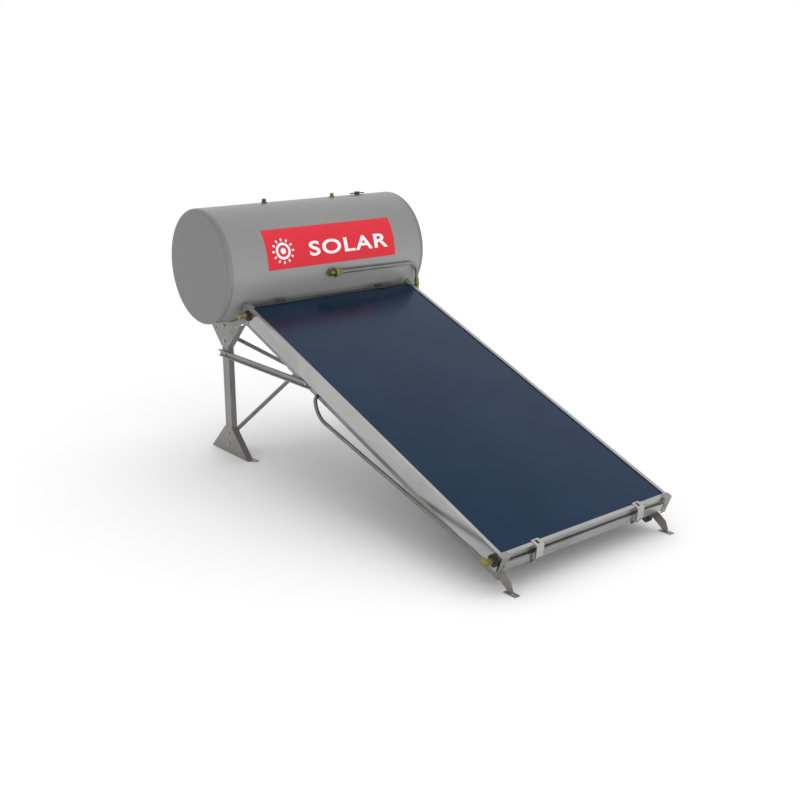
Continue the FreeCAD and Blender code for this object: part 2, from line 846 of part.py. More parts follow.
def tank_end_caps():
    """The pressed end caps with rounded rims: the right one has the service hole."""
    outer = can("cap_outer", "tank_radius", "cap_depth", "cap_rim", False)
    inner = can("cap_inner", "tank_radius - jacket_wall", "cap_depth - jacket_wall", "cap_rim - jacket_wall",
                False)
    shell = doc.addObject("Part::Cut", "cap_shell")
    shell.Base = outer
    shell.Tool = inner
    hole = cylinder("cap_service_hole", "X", ("0", "0", "0"), "service_hole", "2 * cap_depth")
    right = cut("tank_end_cap_right", shell, hole)
    place_on_tank(right, "tank_half_length - cap_depth")
    plain = doc.addObject("Part::Cut", "cap_shell_left")
    plain.Base = outer
    plain.Tool = inner
    left = doc.addObject("Part::Mirroring", "tank_end_cap_left")
    left.Label = "tank_end_cap_left"
    left.Source = plain
    left.Normal = X_AXIS
    place_on_tank(left, "-(tank_half_length - cap_depth)")
    parts.append(left)


def inner_tank():
    """The enamelled pressure vessel, domed at both ends, with a hand hole in its right end."""
    outer = can("vessel_outer", "inner_radius", "2 * inner_half_length", "inner_dome", True)
    inner = can("vessel_inner", "inner_radius - inner_wall", "2 * (inner_half_length - inner_wall)",
                "inner_dome - inner_wall", True)
    place_on_tank(outer, "-inner_half_length")
    place_on_tank(inner, "-inner_half_length + inner_wall")
    hole = cylinder("vessel_hand_hole", "X", ("inner_half_length - 2 * inner_wall", "tank_y", "tank_z"),
                    "hand_hole_radius", "3 * inner_wall")
    cut("inner_tank", outer, merge("vessel_tool", [inner, hole]))


def primary_jacket():
    """The ring-shaped heating jacket around the vessel, which the collector's fluid fills."""
    body = new_body("primary_jacket")
    low = ("-primary_half_length", "tank_y", "tank_z")
    inside = ("-primary_half_length + primary_wall", "tank_y", "tank_z")
    rod(body, "Additive", "X", low, "primary_radius", "2 * primary_half_length")
    rod(body, "Subtractive", "X", inside, "primary_radius - primary_wall",
        "2 * (primary_half_length - primary_wall)")
    rod(body, "Subtractive", "X", low, "inner_radius + hole_fit", "2 * primary_half_length")


def tank_insulation():
    """The foam between the jacket and the vessel, with a well for the service flange."""
    half = "(tank_half_length - cap_rim - foam_end_gap)"
    low = ("-" + half, "tank_y", "tank_z")
    drum = cylinder("foam_drum", "X", low, "tank_radius - jacket_wall - foam_fit", "2 * " + half)
    room = "(inner_half_length + fitting_gap)"
    cavity = cylinder("foam_cavity", "X", ("-" + room, "tank_y", "tank_z"), "primary_radius + fitting_gap",
                      "2 * " + room)
    well = cylinder("foam_well", "X", ("0", "tank_y", "tank_z"), "flange_radius + flange_room",
                    "tank_half_length")
    cut("tank_insulation", drum,
        merge("foam_tool", [cavity, well, stub_holes("foam_holes", "foam_hole_fit")]))


def service_flange():
    """Cover of the hand hole with its gasket."""
    gasket = new_body("flange_gasket")
    tube(gasket, "X", ("inner_half_length", "tank_y", "tank_z"), "flange_radius", "hand_hole_radius",
         "gasket_thickness")
    flange = new_body("service_flange")
    start = ("inner_half_length + gasket_thickness", "tank_y", "tank_z")
    tube(flange, "X", start, "flange_radius", "anode_stud_radius + anode_stud_fit", "flange_thickness")


def anode_rod():
    """The sacrificial rod, hung from the flange by its stud and nut."""
    body = new_body("anode_rod")
    back = "inner_half_length + gasket_thickness"
    tip = (back + " - anode_length - fitting_gap", "tank_y", "tank_z")
    rod(body, "Additive", "X", tip, "anode_radius", "anode_length")
    rod(body, "Additive", "X", tip, "anode_stud_radius",
        "anode_length + fitting_gap + flange_thickness + anode_nut_height")
    hexagon(body, "X", (back + " + flange_thickness", "tank_y", "tank_z"), "anode_radius", "anode_nut_height")


def flange_bolts():
    """The ring of bolt heads on the flange."""
    pieces = []
    for index in range(SIZES["flange_bolt_count"]):
        angle = "((%d + 0.5) * 360deg / flange_bolt_count)" % index
        body = doc.addObject("PartDesign::Body", "flange_bolt_%d" % index)
        spot = ("inner_half_length + gasket_thickness + flange_thickness",
                "tank_y + flange_bolt_circle * cos(%s)" % angle,
                "tank_z + flange_bolt_circle * sin(%s)" % angle)
        hexagon(body, "X", spot, "bolt_head", "bolt_head_height")
        pieces.append(body)
    group("flange_bolts", pieces)


def service_cover():
    """The push-in cover of the service hole, flush with the end cap."""
    body = new_body("service_cover")
    start = ("tank_half_length - cover_depth", "tank_y", "tank_z")
    rod(body, "Additive", "X", start, "service_hole - cover_fit", "cover_depth")
    rod(body, "Subtractive", "X", start, "service_hole - cover_fit - cover_wall", "cover_depth - cover_wall")


def tank_label():
    """The thin curved plate on the jacket's front."""
    low = ("label_x - label_width / 2", "tank_y", "tank_z")
    skin = cylinder("label_skin", "X", low, "tank_radius + label_thickness", "label_width")
    core = cylinder("label_core", "X", low, "tank_radius", "label_width")
    ring = doc.addObject("Part::Cut", "label_ring")
    ring.Base = skin
    ring.Tool = core
    wedge = doc.addObject("Part::Cylinder", "label_wedge")
    wedge.Placement = FreeCAD.Placement(FreeCAD.Vector(), label_turn())
    bind(wedge,
         {"Radius": "2 * tank_radius", "Height": "label_width",
          "Angle": "label_high_angle - label_low_angle"})
    bind(wedge, dict(zip(BASE, low)))
    label = doc.addObject("Part::Common", "tank_label")
    label.Label = "tank_label"
    label.Base = ring
    label.Tool = wedge
    parts.append(label)


def label_turn():
    """Turns a sector that opens from +X about Z into one that opens over the tank's front about X."""
    start = FreeCAD.Rotation(X_AXIS, 180 - SIZES["label_high_angle"])
    lay = FreeCAD.Rotation(FreeCAD.Vector(0, 1, 0), FreeCAD.Vector(0, 0, 1), X_AXIS, "ZXY")
    return start.multiply(lay)


def top_stub(label, x, height):
    """A threaded pipe stub through the top of the jacket, with a collar on the jacket."""
    body = new_body(label)
    rod(body, "Additive", "Z", (x, "tank_y", "tank_z + primary_radius + jacket_step"), "stub_radius",
        "tank_radius - primary_radius - jacket_step + " + height)
    rod(body, "Additive", "Z", (x, "tank_y", "tank_z + tank_radius + hole_fit"), "collar_radius",
        "collar_height - hole_fit")
    return body


def hot_water_outlet():
    """Open brass stub for the house's hot pipe."""
    body = top_stub("hot_water_outlet", "hot_outlet_x", "stub_height")
    rod(body, "Subtractive", "Z", ("hot_outlet_x", "tank_y", "tank_z + primary_radius"), "stub_bore",
        "tank_radius")


def filler_plug():
    """Closed plug of the primary circuit's filling point."""
    body = top_stub("filler_plug", "plug_x", "filler_height")
    top = "tank_z + tank_radius + filler_height"
    hexagon(body, "Z", ("plug_x", "tank_y", top + " - filler_hex_height"), "filler_hex", "filler_hex_height")


def cold_water_inlet():
    """Open brass stub under the tank for the house's cold pipe."""
    body = new_body("cold_water_inlet")
    low = "tank_z - tank_radius - outlet_length"
    length = "tank_radius - primary_radius - jacket_step + outlet_length"
    tube(body, "Z", ("inlet_x", "tank_y", low), "stub_radius", "stub_bore", length)
    collar = "tank_z - tank_radius - collar_height"
    tube(body, "Z", ("inlet_x", "tank_y", collar), "collar_radius", "stub_bore", "collar_height - hole_fit")


def relief_valve():
    """Relief valve: the brass body with its spindle, and the two-winged knob that turns on it."""
    body = top_stub("relief_valve_body", "relief_x", "knob_base_height")
    seat = "tank_z + tank_radius + knob_base_height"
    rod(body, "Additive", "Z", ("relief_x", "tank_y", seat), "knob_pin_radius", "knob_height - knob_roof")
    knob = new_body("relief_valve_knob")
    low = seat + " + hole_fit"
    rod(knob, "Additive", "Z", ("relief_x", "tank_y", low), "knob_hub_radius", "knob_height")
    box(knob, "Additive", ("relief_x - knob_wing_length / 2", "tank_y - knob_wing_width / 2", low),
        ("knob_wing_length", "knob_wing_width", "knob_wing_height"))
    rod(knob, "Subtractive", "Z", ("relief_x", "tank_y", seat), "knob_pin_radius + knob_pin_gap",
        "knob_height - knob_roof + hole_fit")


def tank_inlet_elbow():
    """Brass elbow on the tank's front where the hot fluid enters the heating jacket."""
    body = new_body("tank_inlet_elbow")
    drop = "asin((tank_z - tank_elbow_z) / primary_radius)"
    reach = "tank_y - primary_radius * cos(%s) - jacket_step - tank_elbow_y" % drop
    corner = ("tank_elbow_x", "tank_elbow_y", "tank_elbow_z")
    rod(body, "Additive", "Y", corner, "stub_radius", reach)
    hexagon(body, "Y", ("tank_elbow_x", "tank_elbow_y + lock_nut_start", "tank_elbow_z"), "lock_nut_hex",
            "lock_nut_length")
    ball(body, corner, "tank_elbow_radius")
    leg = "big_union_start + big_union_length + small_union_length"
    rod(body, "Additive", "X", corner, "elbow_radius", leg)
    hexagon(body, "X", ("tank_elbow_x + big_union_start", "tank_elbow_y", "tank_elbow_z"), "big_union_hex",
            "big_union_length")
    hexagon(body, "X", ("tank_elbow_x + big_union_start + big_union_length", "tank_elbow_y", "tank_elbow_z"),
            "small_union_hex", "small_union_length")
    rod(body, "Subtractive", "X", corner, "pipe_bore", leg)
    rod(body, "Subtractive", "Y", corner, "pipe_bore", reach)


def tank_return_outlet():
    """Brass stub low on the tank's front where the cooled fluid leaves the heating jacket."""
    start = "(primary_radius + jacket_step)"
    length = "tank_radius - primary_radius - jacket_step + outlet_length"
    stub = cylinder("return_outlet_tube", "Z", ("return_x", "tank_y", "tank_z"), "stub_radius", length)
    bore = cylinder("return_outlet_bore", "Z", ("return_x", "tank_y", "tank_z"), "pipe_bore", length)
    for item in (stub, bore):
        aim_down(item, start)
    cut("tank_return_outlet", stub, bore)


# ---------------------------------------------------------------- pipes

def hot_pipe():
    """Pipe from the collector's upper right corner up and across to the tank's front."""
    x = value("collector_width / 2 + elbow_reach")
    y = value(slope_y(UPPER_END, "-header_drop"))
    low = value(slope_z(UPPER_END, "-header_drop") + " + union_leg")
    end = "tank_elbow_x + big_union_start + big_union_length + small_union_length + fitting_gap"
    mouth = FreeCAD.Vector(value(end), value("tank_elbow_y"), value("tank_elbow_z"))
    bent_pipe("hot_pipe", [
        (mouth, 0),
        (FreeCAD.Vector(x, y, value("hot_pipe_z")), value("hot_pipe_bend")),
        (FreeCAD.Vector(x, y, low), 0),
    ])


def return_pipe():
    """Pipe from under the tank, below the collector, out through the left rail and down beside the frame."""
    angle = math.radians(value("return_outlet_angle"))
    out = FreeCAD.Vector(0, -math.sin(angle), -math.cos(angle))
    tank = FreeCAD.Vector(value("return_x"), value("tank_y"), value("tank_z"))
    mouth = tank + out * value("tank_radius + outlet_length")
    side = "-(collector_width / 2 + elbow_reach)"
    bent_pipe("return_pipe", [
        (mouth, 0),
        (mouth + out * value("return_run"), value("return_small_bend")),
        (world_point("return_x", "return_turn_top", "-return_drop"), value("return_sag_bend")),
        (world_point("return_x", "return_turn_low", "-return_rail_drop"), value("return_small_bend")),
        (world_point("-return_side", "return_turn_low", "-return_rail_drop"), value("return_tight_bend")),
        (world_point("-return_side", "return_sag", "-return_sag_drop"), value("return_sag_bend")),
        (world_point("-return_middle_side", "return_middle", "-return_middle_drop"),
         value("return_long_bend")),
        (world_point(side, "return_end", "-header_drop"), value("return_long_bend")),
        (world_point(side, "header_inset + elbow_leg", "-header_drop"), 0),
    ])


# ---------------------------------------------------------------- stand

def rear_post_left():
    """Folded channel, open towards the middle."""
    body = new_body("rear_post_left")
    front = "post_y - post_width / 2"
    height = "post_top - post_bottom"
    box(body, "Additive", ("-stand_half", front, "post_bottom"), ("post_depth", "post_width", height))
    box(body, "Subtractive", ("-stand_half + sheet", front + " + sheet", "post_bottom"),
        ("post_depth", "post_width - 2 * sheet", height))
    for z in POST_BOLTS + (STRUT_BOLT_POST[1],):
        bolt_hole(body, "-stand_half", "post_y", z)
    for z in ("brace_high", "brace_low"):
        rod(body, "Subtractive", "Y", ("-brace_end_x", "post_y", z), "bolt_hole", "post_width")
    return body


def bolt_hole(body, x, y, z):
    """A bolt's hole through one sheet that stands across X, from the sheet's low side."""
    rod(body, "Subtractive", "X", (x + " - sheet", y, z), "bolt_hole", "3 * sheet")


def folded_edges(body, rows):
    """Flanges folded inwards along the two slanted edges of a plate that is symmetric about the post.

    Each row is half the plate's width and the height where that holds.
    """
    for side in ("-", "+"):
        back = "+" if side == "-" else "-"
        (low_half, low), (high_half, high) = rows
        edge = (("post_y %s %s" % (side, low_half), low),
                ("post_y %s %s %s flange_width" % (side, low_half, back), low),
                ("post_y %s %s %s flange_width" % (side, high_half, back), high),
                ("post_y %s %s" % (side, high_half), high))
        plate(body, "YZ_Plane", edge, "-stand_half - sheet", "flange_depth")


def saddle_bracket_left():
    """V-shaped plate on the post, its edges folded inwards, with a cradle strip under the tank."""
    body = new_body("saddle_bracket_left")
    outer = "-stand_half - sheet"
    radius = "tank_radius + pad_thickness"
    rod(body, "Additive", "X", (outer, "tank_y", "tank_z"), radius + " + sheet", "cradle_width")
    box(body, "Subtractive", ("-stand_half - cradle_width", "tank_y - 2 * tank_radius", "cradle_top"),
        ("3 * cradle_width", "4 * tank_radius", "2 * tank_radius"))
    corners = (
        ("post_y - neck_half", "saddle_bottom"),
        ("post_y + neck_half", "saddle_bottom"),
        ("post_y + saddle_knee_half", "saddle_knee_z"),
        ("post_y + saddle_knee_half", "saddle_wing_top"),
        ("tank_y - saddle_wing + saddle_nose", "saddle_wing_top"),
        ("tank_y - saddle_wing", "saddle_wing_top - saddle_nose"),
        ("tank_y - saddle_wing", "saddle_wing_low"),
        ("post_y - saddle_wing_root", "saddle_wing_low"),
    )
    plate(body, "YZ_Plane", corners, outer, "sheet")
    folded_edges(body, (("neck_half", "saddle_bottom"), ("saddle_knee_half", "saddle_knee_z")))
    rod(body, "Subtractive", "X", ("-stand_half - cradle_width", "tank_y", "tank_z"), radius,
        "3 * cradle_width")
    for z in POST_BOLTS[:2]:
        bolt_hole(body, outer, "post_y", z)
    bolt_hole(body, outer, slope_y(*EXTENSION_BOLT), slope_z(*EXTENSION_BOLT))
    for side in ("-", "+"):
        bolt_hole(body, outer, "post_y %s saddle_hole_near" % side, "saddle_bottom + saddle_hole_low")
        bolt_hole(body, outer, "post_y %s saddle_hole_far" % side,
                  "saddle_bottom + saddle_hole_low + saddle_hole_rise")
    return body


def saddle_pads():
    """Rubber strips between the cradles and the tank."""
    pieces = []
    for side, low in (("left", "-stand_half - sheet"), ("right", "stand_half + sheet - cradle_width")):
        body = doc.addObject("PartDesign::Body", "saddle_pad_" + side)
        tube(body, "X", (low, "tank_y", "tank_z"), "tank_radius + pad_thickness - pad_fit",
             "tank_radius + 2 * pad_fit", "cradle_width")
        box(body, "Subtractive", (low, "tank_y - 2 * tank_radius", "cradle_top"),
            ("cradle_width", "4 * tank_radius", "2 * tank_radius"))
        pieces.append(body)
    group("saddle_pads", pieces)


def rear_foot_left():
    """Triangular foot plate with folded edges and two ground tabs."""
    body = new_body("rear_foot_left")
    outer = "-stand_half - sheet"
    corners = (("post_y - foot_half", "0"), ("post_y + foot_half", "0"),
               ("post_y + neck_half", "foot_height"), ("post_y - neck_half", "foot_height"))
    plate(body, "YZ_Plane", corners, outer, "sheet")
    folded_edges(body, (("foot_half", "0"), ("neck_half", "foot_height")))
    front = "post_y - foot_half"
    tab = ((outer, front), (outer + " + tab_inner", front + " - tab_corner_out"),
           (outer + " + tab_tip", front + " - tab_tip_out"), (outer + " + tab_inner", front + " + tab_end"),
           (outer, front + " + tab_end"))
    plate(body, "XY_Plane", tab, "0", "tab_thickness")
    box(body, "Additive", (outer, "post_y + foot_half - rear_tab_length - flange_width", "0"),
        ("tab_inner", "rear_tab_length", "tab_thickness"))
    for y in (front + " + tab_hole_in", "post_y + foot_half - rear_tab_length / 2 - flange_width"):
        rod(body, "Subtractive", "Z", (outer + " + tab_hole_inset", y, "0"), "tab_hole", "tab_thickness")
    for z in POST_BOLTS[2:]:
        bolt_hole(body, outer, "post_y", z)
    return body


def side_strut_left():
    """Lipped channel from the post forward to the inclined rail, open outwards, its front end cut aslant."""
    body = new_body("side_strut_left")
    outer = "-stand_half - strut_depth"
    top = "strut_low + strut_height"
    corners = (("strut_front + strut_heel", "strut_low"), ("strut_rear", "strut_low"), ("strut_rear", top),
               ("strut_top_front", top), ("strut_front", "strut_low + strut_toe_rise"))
    plate(body, "YZ_Plane", corners, outer, "strut_depth")
    length = "strut_rear - strut_front"
    box(body, "Subtractive", (outer + " + sheet", "strut_front", "strut_low + sheet"),
        ("strut_depth - 2 * sheet", length, "strut_height - 2 * sheet"))
    box(body, "Subtractive", (outer, "strut_front", "strut_low + strut_lip"),
        ("sheet", length, "strut_height - 2 * strut_lip"))
    for y, z in (STRUT_BOLT_POST, STRUT_BOLT_RAIL):
        bolt_hole(body, "-stand_half - sheet", y, z)
    return body


def channel_on_slope(body, x, start, end, width, depth, top):
    """A folded channel under the collector, its web outwards and its flanges towards the middle."""
    length = "%s - %s" % (end, start)
    box(body, "Additive", (x, start, top + " - " + depth), (width, length, depth))
    box(body, "Subtractive", (x + " + sheet", start, top + " - " + depth + " + sheet"),
        (width, length, depth + " - 2 * sheet"))


def side_rail_left():
    """Lower half of the telescoping rail under the collector's edge."""
    body = new_body("side_rail_left")
    channel_on_slope(body, "-stand_half", "rail_start", "rail_end", "rail_width", "rail_depth",
                     "-collector_depth")
    strut_y = "(%s - low_y)" % STRUT_BOLT_RAIL[0]
    strut_z = "(%s - low_z)" % STRUT_BOLT_RAIL[1]
    strut = ("%s * cos(tilt * 1deg) + %s * sin(tilt * 1deg)" % (strut_y, strut_z),
             "%s * cos(tilt * 1deg) - %s * sin(tilt * 1deg)" % (strut_z, strut_y))
    for along, out in FOOT_BOLTS + (LAP_BOLT, strut):
        bolt_hole(body, "-stand_half", along, out)
    rod(body, "Subtractive", "X", ("-stand_half - sheet", "return_turn_low", "-return_rail_drop"),
        "rail_pipe_hole",
        "3 * sheet")
    tilt(body)
    return body


def rail_extension_left():
    """Upper half of the rail, sliding inside the lower one and bolted to the saddle bracket."""
    body = new_body("rail_extension_left")
    channel_on_slope(body, "-stand_half + sheet", "extension_start", "extension_end", "extension_width",
                     EXTENSION_DEPTH, "-collector_depth - sheet")
    for along, out in (LAP_BOLT, EXTENSION_BOLT):
        bolt_hole(body, "-stand_half + sheet", along, out)
    tilt(body)
    return body


def cross_rail(label, web, hollow):
    """Channel across one end of the collector, a few millimetres off it, that the clamps hold."""
    body = new_body(label)
    low = "-cross_rail_low"
    length = "2 * cross_rail_half"
    box(body, "Additive", ("-cross_rail_half", web, low), (length, "cross_rail_depth", "cross_rail_height"))
    box(body, "Subtractive", ("-cross_rail_half", hollow, low + " + sheet"),
        (length, "cross_rail_depth - sheet", "cross_rail_height - 2 * sheet"))
    tilt(body)


def brace(label, rise, y, lip_y):
    """Bar across the posts with lips along both edges, rising to the left (+) or to the right (-)."""
    body = new_body(label)
    span = "2 * brace_end_x"
    climb = "(brace_high - brace_low)"
    length = "(sqrt((%s) ^ 2 + %s ^ 2) + 2 * brace_overrun)" % (span, climb)
    box(body, "Additive", ("-%s / 2" % length, "0", "-brace_width / 2"),
        (length, "brace_thickness", "brace_width"))
    for z in ("-brace_width / 2", "brace_width / 2 - brace_lip_thickness"):
        box(body, "Additive", ("-%s / 2 + brace_lip_margin" % length, lip_y, z),
            (length + " - 2 * brace_lip_margin", "brace_thickness + brace_lip", "brace_lip_thickness"))
    for side in ("-", ""):
        spot = ("%s(%s / 2 - brace_overrun)" % (side, length), "-sheet", "0")
        rod(body, "Subtractive", "Y", spot, "bolt_hole", "brace_thickness + 2 * sheet")
    body.Placement = FreeCAD.Placement(FreeCAD.Vector(), FreeCAD.Rotation(Y_AXIS, 1))
    bind(body, {"Placement.Rotation.Angle": "%s1 * atan(%s / (%s))" % (rise, climb, span),
                BASE[1]: y, BASE[2]: "(brace_high + brace_low) / 2"})


def lower_bracket():
    """Folded piece at the lower left corner: a slotted face on the cross rail, a tab over the frame."""
    body = doc.addObject("PartDesign::Body", "bracket_lower_left")
    face = (("-bracket_outer", "sheet"), ("-bracket_tab_inner", "sheet"),
            ("-bracket_waist", "-bracket_waist_drop"), ("-bracket_waist", "-bracket_drop"),
            ("-bracket_outer", "-bracket_drop"))
    plate(body, "XZ_Plane", face, "cross_rail_front", "sheet")
    box(body, "Additive", ("-bracket_outer", "-cross_rail_front - sheet", "0"),
        ("bracket_outer - bracket_tab_inner", "cross_rail_front + sheet + bracket_tab", "sheet"))
    box(body, "Subtractive",
        ("-bracket_slot_x - bracket_slot_width / 2", "-2 * cross_rail_front", "-bracket_slot_low"),
        ("bracket_slot_width", "2 * cross_rail_front", "bracket_slot_height"))
    rod(body, "Subtractive", "Y", ("-bracket_hole_x", "-2 * cross_rail_front", "-bracket_hole_drop"),
        "bolt_radius",
        "2 * cross_rail_front")
    tilt(body)
    return body


def upper_bracket():
    """Folded piece at the upper left corner: a side plate round the grommet, a tab and an end plate."""
    body = doc.addObject("PartDesign::Body", "bracket_upper_left")
    x = "-collector_width / 2 - sheet"
    width = "collector_width / 2 + sheet - bracket_waist"
    box(body, "Additive", (x, "upper_bracket_start", "-collector_depth"),
        ("sheet", "upper_bracket_end - upper_bracket_start", "collector_depth + sheet"))
    box(body, "Additive", (x, "upper_tab_start", "0"), (width, "upper_tab_end - upper_tab_start", "sheet"))
    box(body, "Additive", (x, "collector_length + cross_rail_front", "-cross_rail_low"),
        (width, "sheet", "cross_rail_low + sheet"))
    rod(body, "Subtractive", "X", ("-collector_width / 2 - 2 * sheet", UPPER_END, "-header_drop"),
        "grommet_radius + fitting_gap", "2 * sheet")
    tilt(body)
    return body


def corner_brackets():
    """The four corner pieces of the collector."""
    pieces = []
    for left in (lower_bracket(), upper_bracket()):
        right = doc.addObject("Part::Mirroring", left.Name.replace("left", "right"))
        right.Source = left
        right.Normal = X_AXIS
        pieces += [left, right]
    group("corner_brackets", pieces)


def collector_clamps():
    """Folded clips over the frame's edge, down in front of the cross rails and under them."""
    pieces = []
    for index, (x, end) in enumerate((("-clamp_x", 1), ("clamp_x", 1), ("-clamp_x", -1), ("clamp_x", -1))):
        body = doc.addObject("PartDesign::Body", "clamp_%d" % index)
        edge = "0" if end > 0 else "collector_length"

        def inwards(step):
            """Place at a step up the slope from the lower edge, or down it from the upper edge."""
            return "%s + %d * (%s)" % (edge, end, step)

        profile = (
            (inwards("clamp_tab"), "0"),
            (inwards("clamp_tab"), "clamp_thickness"),
            (inwards("-clamp_fold"), "clamp_thickness"),
            (inwards("-clamp_stand_off"), "-clamp_bulge_drop"),
            (inwards("-clamp_fold"), "-clamp_drop"),
            (inwards("clamp_hook"), "-clamp_drop"),
            (inwards("clamp_hook"), "-clamp_drop + clamp_thickness"),
            (inwards("-clamp_fold + clamp_thickness / 2"), "-clamp_drop + clamp_thickness"),
            (inwards("-clamp_stand_off + clamp_thickness"), "-clamp_bulge_drop"),
            (inwards("-clamp_fold + clamp_thickness"), "0"),
        )
        plate(body, "YZ_Plane", profile, x + " - clamp_width / 2", "clamp_width")
        middle = x + " - clamp_window / 2"
        window_end = "clamp_tab - clamp_window_end"
        window = inwards(window_end + " - clamp_window_length") if end > 0 else inwards(window_end)
        box(body, "Subtractive", (middle, window, "-sheet"),
            ("clamp_window", "clamp_window_length", "3 * sheet"))
        slot = inwards("-clamp_stand_off - clamp_thickness")
        if end < 0:
            slot += " - clamp_slot_depth"
        box(body, "Subtractive", (middle, slot, "-clamp_drop - sheet"),
            ("clamp_window", "clamp_slot_depth", "clamp_drop + sheet - clamp_slot_top"))
        tilt(body)
        pieces.append(body)
    group("collector_clamps", pieces)


def front_foot_left():
    """Plate from the rail's lower end down to the ground, with a slotted toe."""
    body = new_body("front_foot_left")
    outer = "-stand_half - sheet"
    corners = (
        ("low_y + heel_y", "heel_z"),
        ("low_y + calf_y", "calf_z"),
        ("low_y + sole_y", "0"),
        ("low_y - tip_y", "0"),
        ("low_y - toe_crease_y", "toe_crease_z"),
        ("low_y - shin_y", "shin_z"),
        ("low_y + knee_y", "knee_z"),
        ("low_y + crest_y", "crest_z"),
    )
    plate(body, "YZ_Plane", corners, outer, "sheet")
    tip = "low_y - toe_length"
    box(body, "Additive", ("-toe_outer", tip, "0"),
        ("toe_width", "toe_length + toe_overlap", "tab_thickness"))
    middle = "-toe_outer + toe_width / 2"
    slot_start = tip + " + toe_slot_end + bolt_hole"
    slot_run = "(toe_slot - 2 * bolt_hole)"
    for y in (tip + " + toe_hole_end", slot_start, slot_start + " + " + slot_run):
        rod(body, "Subtractive", "Z", (middle, y, "0"), "bolt_hole", "tab_thickness")
    box(body, "Subtractive", (middle + " - bolt_hole", slot_start, "0"),
        ("2 * bolt_hole", slot_run, "tab_thickness"))
    for spot in FOOT_BOLTS:
        bolt_hole(body, outer, slope_y(*spot), slope_z(*spot))
    return body


# ---------------------------------------------------------------- build and write

def build():
    """Draws every part."""
    frame_side("frame_side_left", -1, (LOWER_END, UPPER_END))
    frame_side("frame_side_right", 1, (UPPER_END,))
    frame_end("frame_end_lower", 1)
    frame_end("frame_end_upper", -1)
    cover_glass()
    glass_gasket()
    absorber_plate()
    riser_tubes()
    header_lower()
    header_upper()
    collector_insulation()
    back_sheet()
    header_grommets()
    header_plug()
    return_elbow()
    flow_elbow()
    tank_jacket()
    tank_end_caps()
    inner_tank()
    primary_jacket()
    tank_insulation()
    service_flange()
    anode_rod()
    flange_bolts()
    service_cover()
    tank_label()
    hot_water_outlet()
    filler_plug()
    cold_water_inlet()
    relief_valve()
    tank_inlet_elbow()
    tank_return_outlet()
    hot_pipe()
    return_pipe()
    mirror(rear_post_left())
    mirror(saddle_bracket_left())
    saddle_pads()
    mirror(rear_foot_left())
    mirror(side_strut_left())
    mirror(side_rail_left())
    mirror(rail_extension_left())
    cross_rail("front_cross_rail", "-cross_rail_front", "-cross_rail_front + sheet")
    cross_rail("upper_cross_rail", "collector_length + cross_rail_front - cross_rail_depth",
               "collector_length + cross_rail_front - cross_rail_depth")
    brace("brace_falling", "+", "post_y + post_width / 2 - sheet - brace_thickness", "-brace_lip")
    brace("brace_rising", "-", "post_y + post_width / 2", "0")
    corner_brackets()
    collector_clamps()
    mirror(front_foot_left())
    stand_bolts()


def check():
    """Stops if any object failed to recompute or any part has no valid solid."""
    for item in doc.Objects:
        if "Invalid" in item.State or "Error" in item.State:
            raise RuntimeError("%s is %s" % (item.Name, item.State))
    for item in parts:
        if item.Shape.isNull() or not item.Shape.isValid() or not item.Shape.Solids:
            raise RuntimeError("%s has no valid solid" % item.Label)


def write():
    """Writes each part to its own file."""
    os.makedirs("parts", exist_ok=True)
    for item in parts:
        item.Shape.exportStep("parts/%s.step" % item.Label)


build()
doc.recompute()
check()
write()
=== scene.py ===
"""Looks of the solar water heater: materials, label print, seams, studio floor, lights and camera.

Lengths are in metres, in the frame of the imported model.
"""
import json
import math

import bmesh
import bpy
from mathutils import Matrix, Vector


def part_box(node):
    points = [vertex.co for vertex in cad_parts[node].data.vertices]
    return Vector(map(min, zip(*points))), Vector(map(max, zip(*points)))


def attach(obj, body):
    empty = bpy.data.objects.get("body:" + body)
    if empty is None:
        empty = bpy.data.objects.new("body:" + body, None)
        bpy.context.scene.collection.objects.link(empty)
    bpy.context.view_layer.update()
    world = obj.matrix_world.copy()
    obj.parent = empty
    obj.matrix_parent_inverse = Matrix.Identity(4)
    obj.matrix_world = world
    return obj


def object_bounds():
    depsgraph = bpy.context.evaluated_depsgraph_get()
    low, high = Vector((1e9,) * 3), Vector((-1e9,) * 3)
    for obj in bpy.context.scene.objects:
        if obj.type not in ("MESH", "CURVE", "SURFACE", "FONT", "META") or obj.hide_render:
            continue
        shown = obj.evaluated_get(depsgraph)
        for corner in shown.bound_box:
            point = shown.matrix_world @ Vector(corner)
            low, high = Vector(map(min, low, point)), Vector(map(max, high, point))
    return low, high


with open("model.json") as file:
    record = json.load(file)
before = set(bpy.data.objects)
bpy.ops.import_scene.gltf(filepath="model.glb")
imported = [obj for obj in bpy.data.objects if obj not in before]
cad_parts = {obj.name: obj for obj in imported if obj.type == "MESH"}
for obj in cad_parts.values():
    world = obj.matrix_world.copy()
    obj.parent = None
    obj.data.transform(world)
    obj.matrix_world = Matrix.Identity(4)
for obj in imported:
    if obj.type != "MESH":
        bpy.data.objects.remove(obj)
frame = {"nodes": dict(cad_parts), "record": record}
cad_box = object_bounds()
cad = frame["nodes"]

# Corners nearer than this are one corner.
TOUCHING = 1e-6

# How square the surface is to its rounded edge: fully marked below the first (worn bare metal, and a
# painted highlight on the tank paint), untouched above the second.
EDGE_FULL_MARK = 0.80
EDGE_CLEAN = 0.99

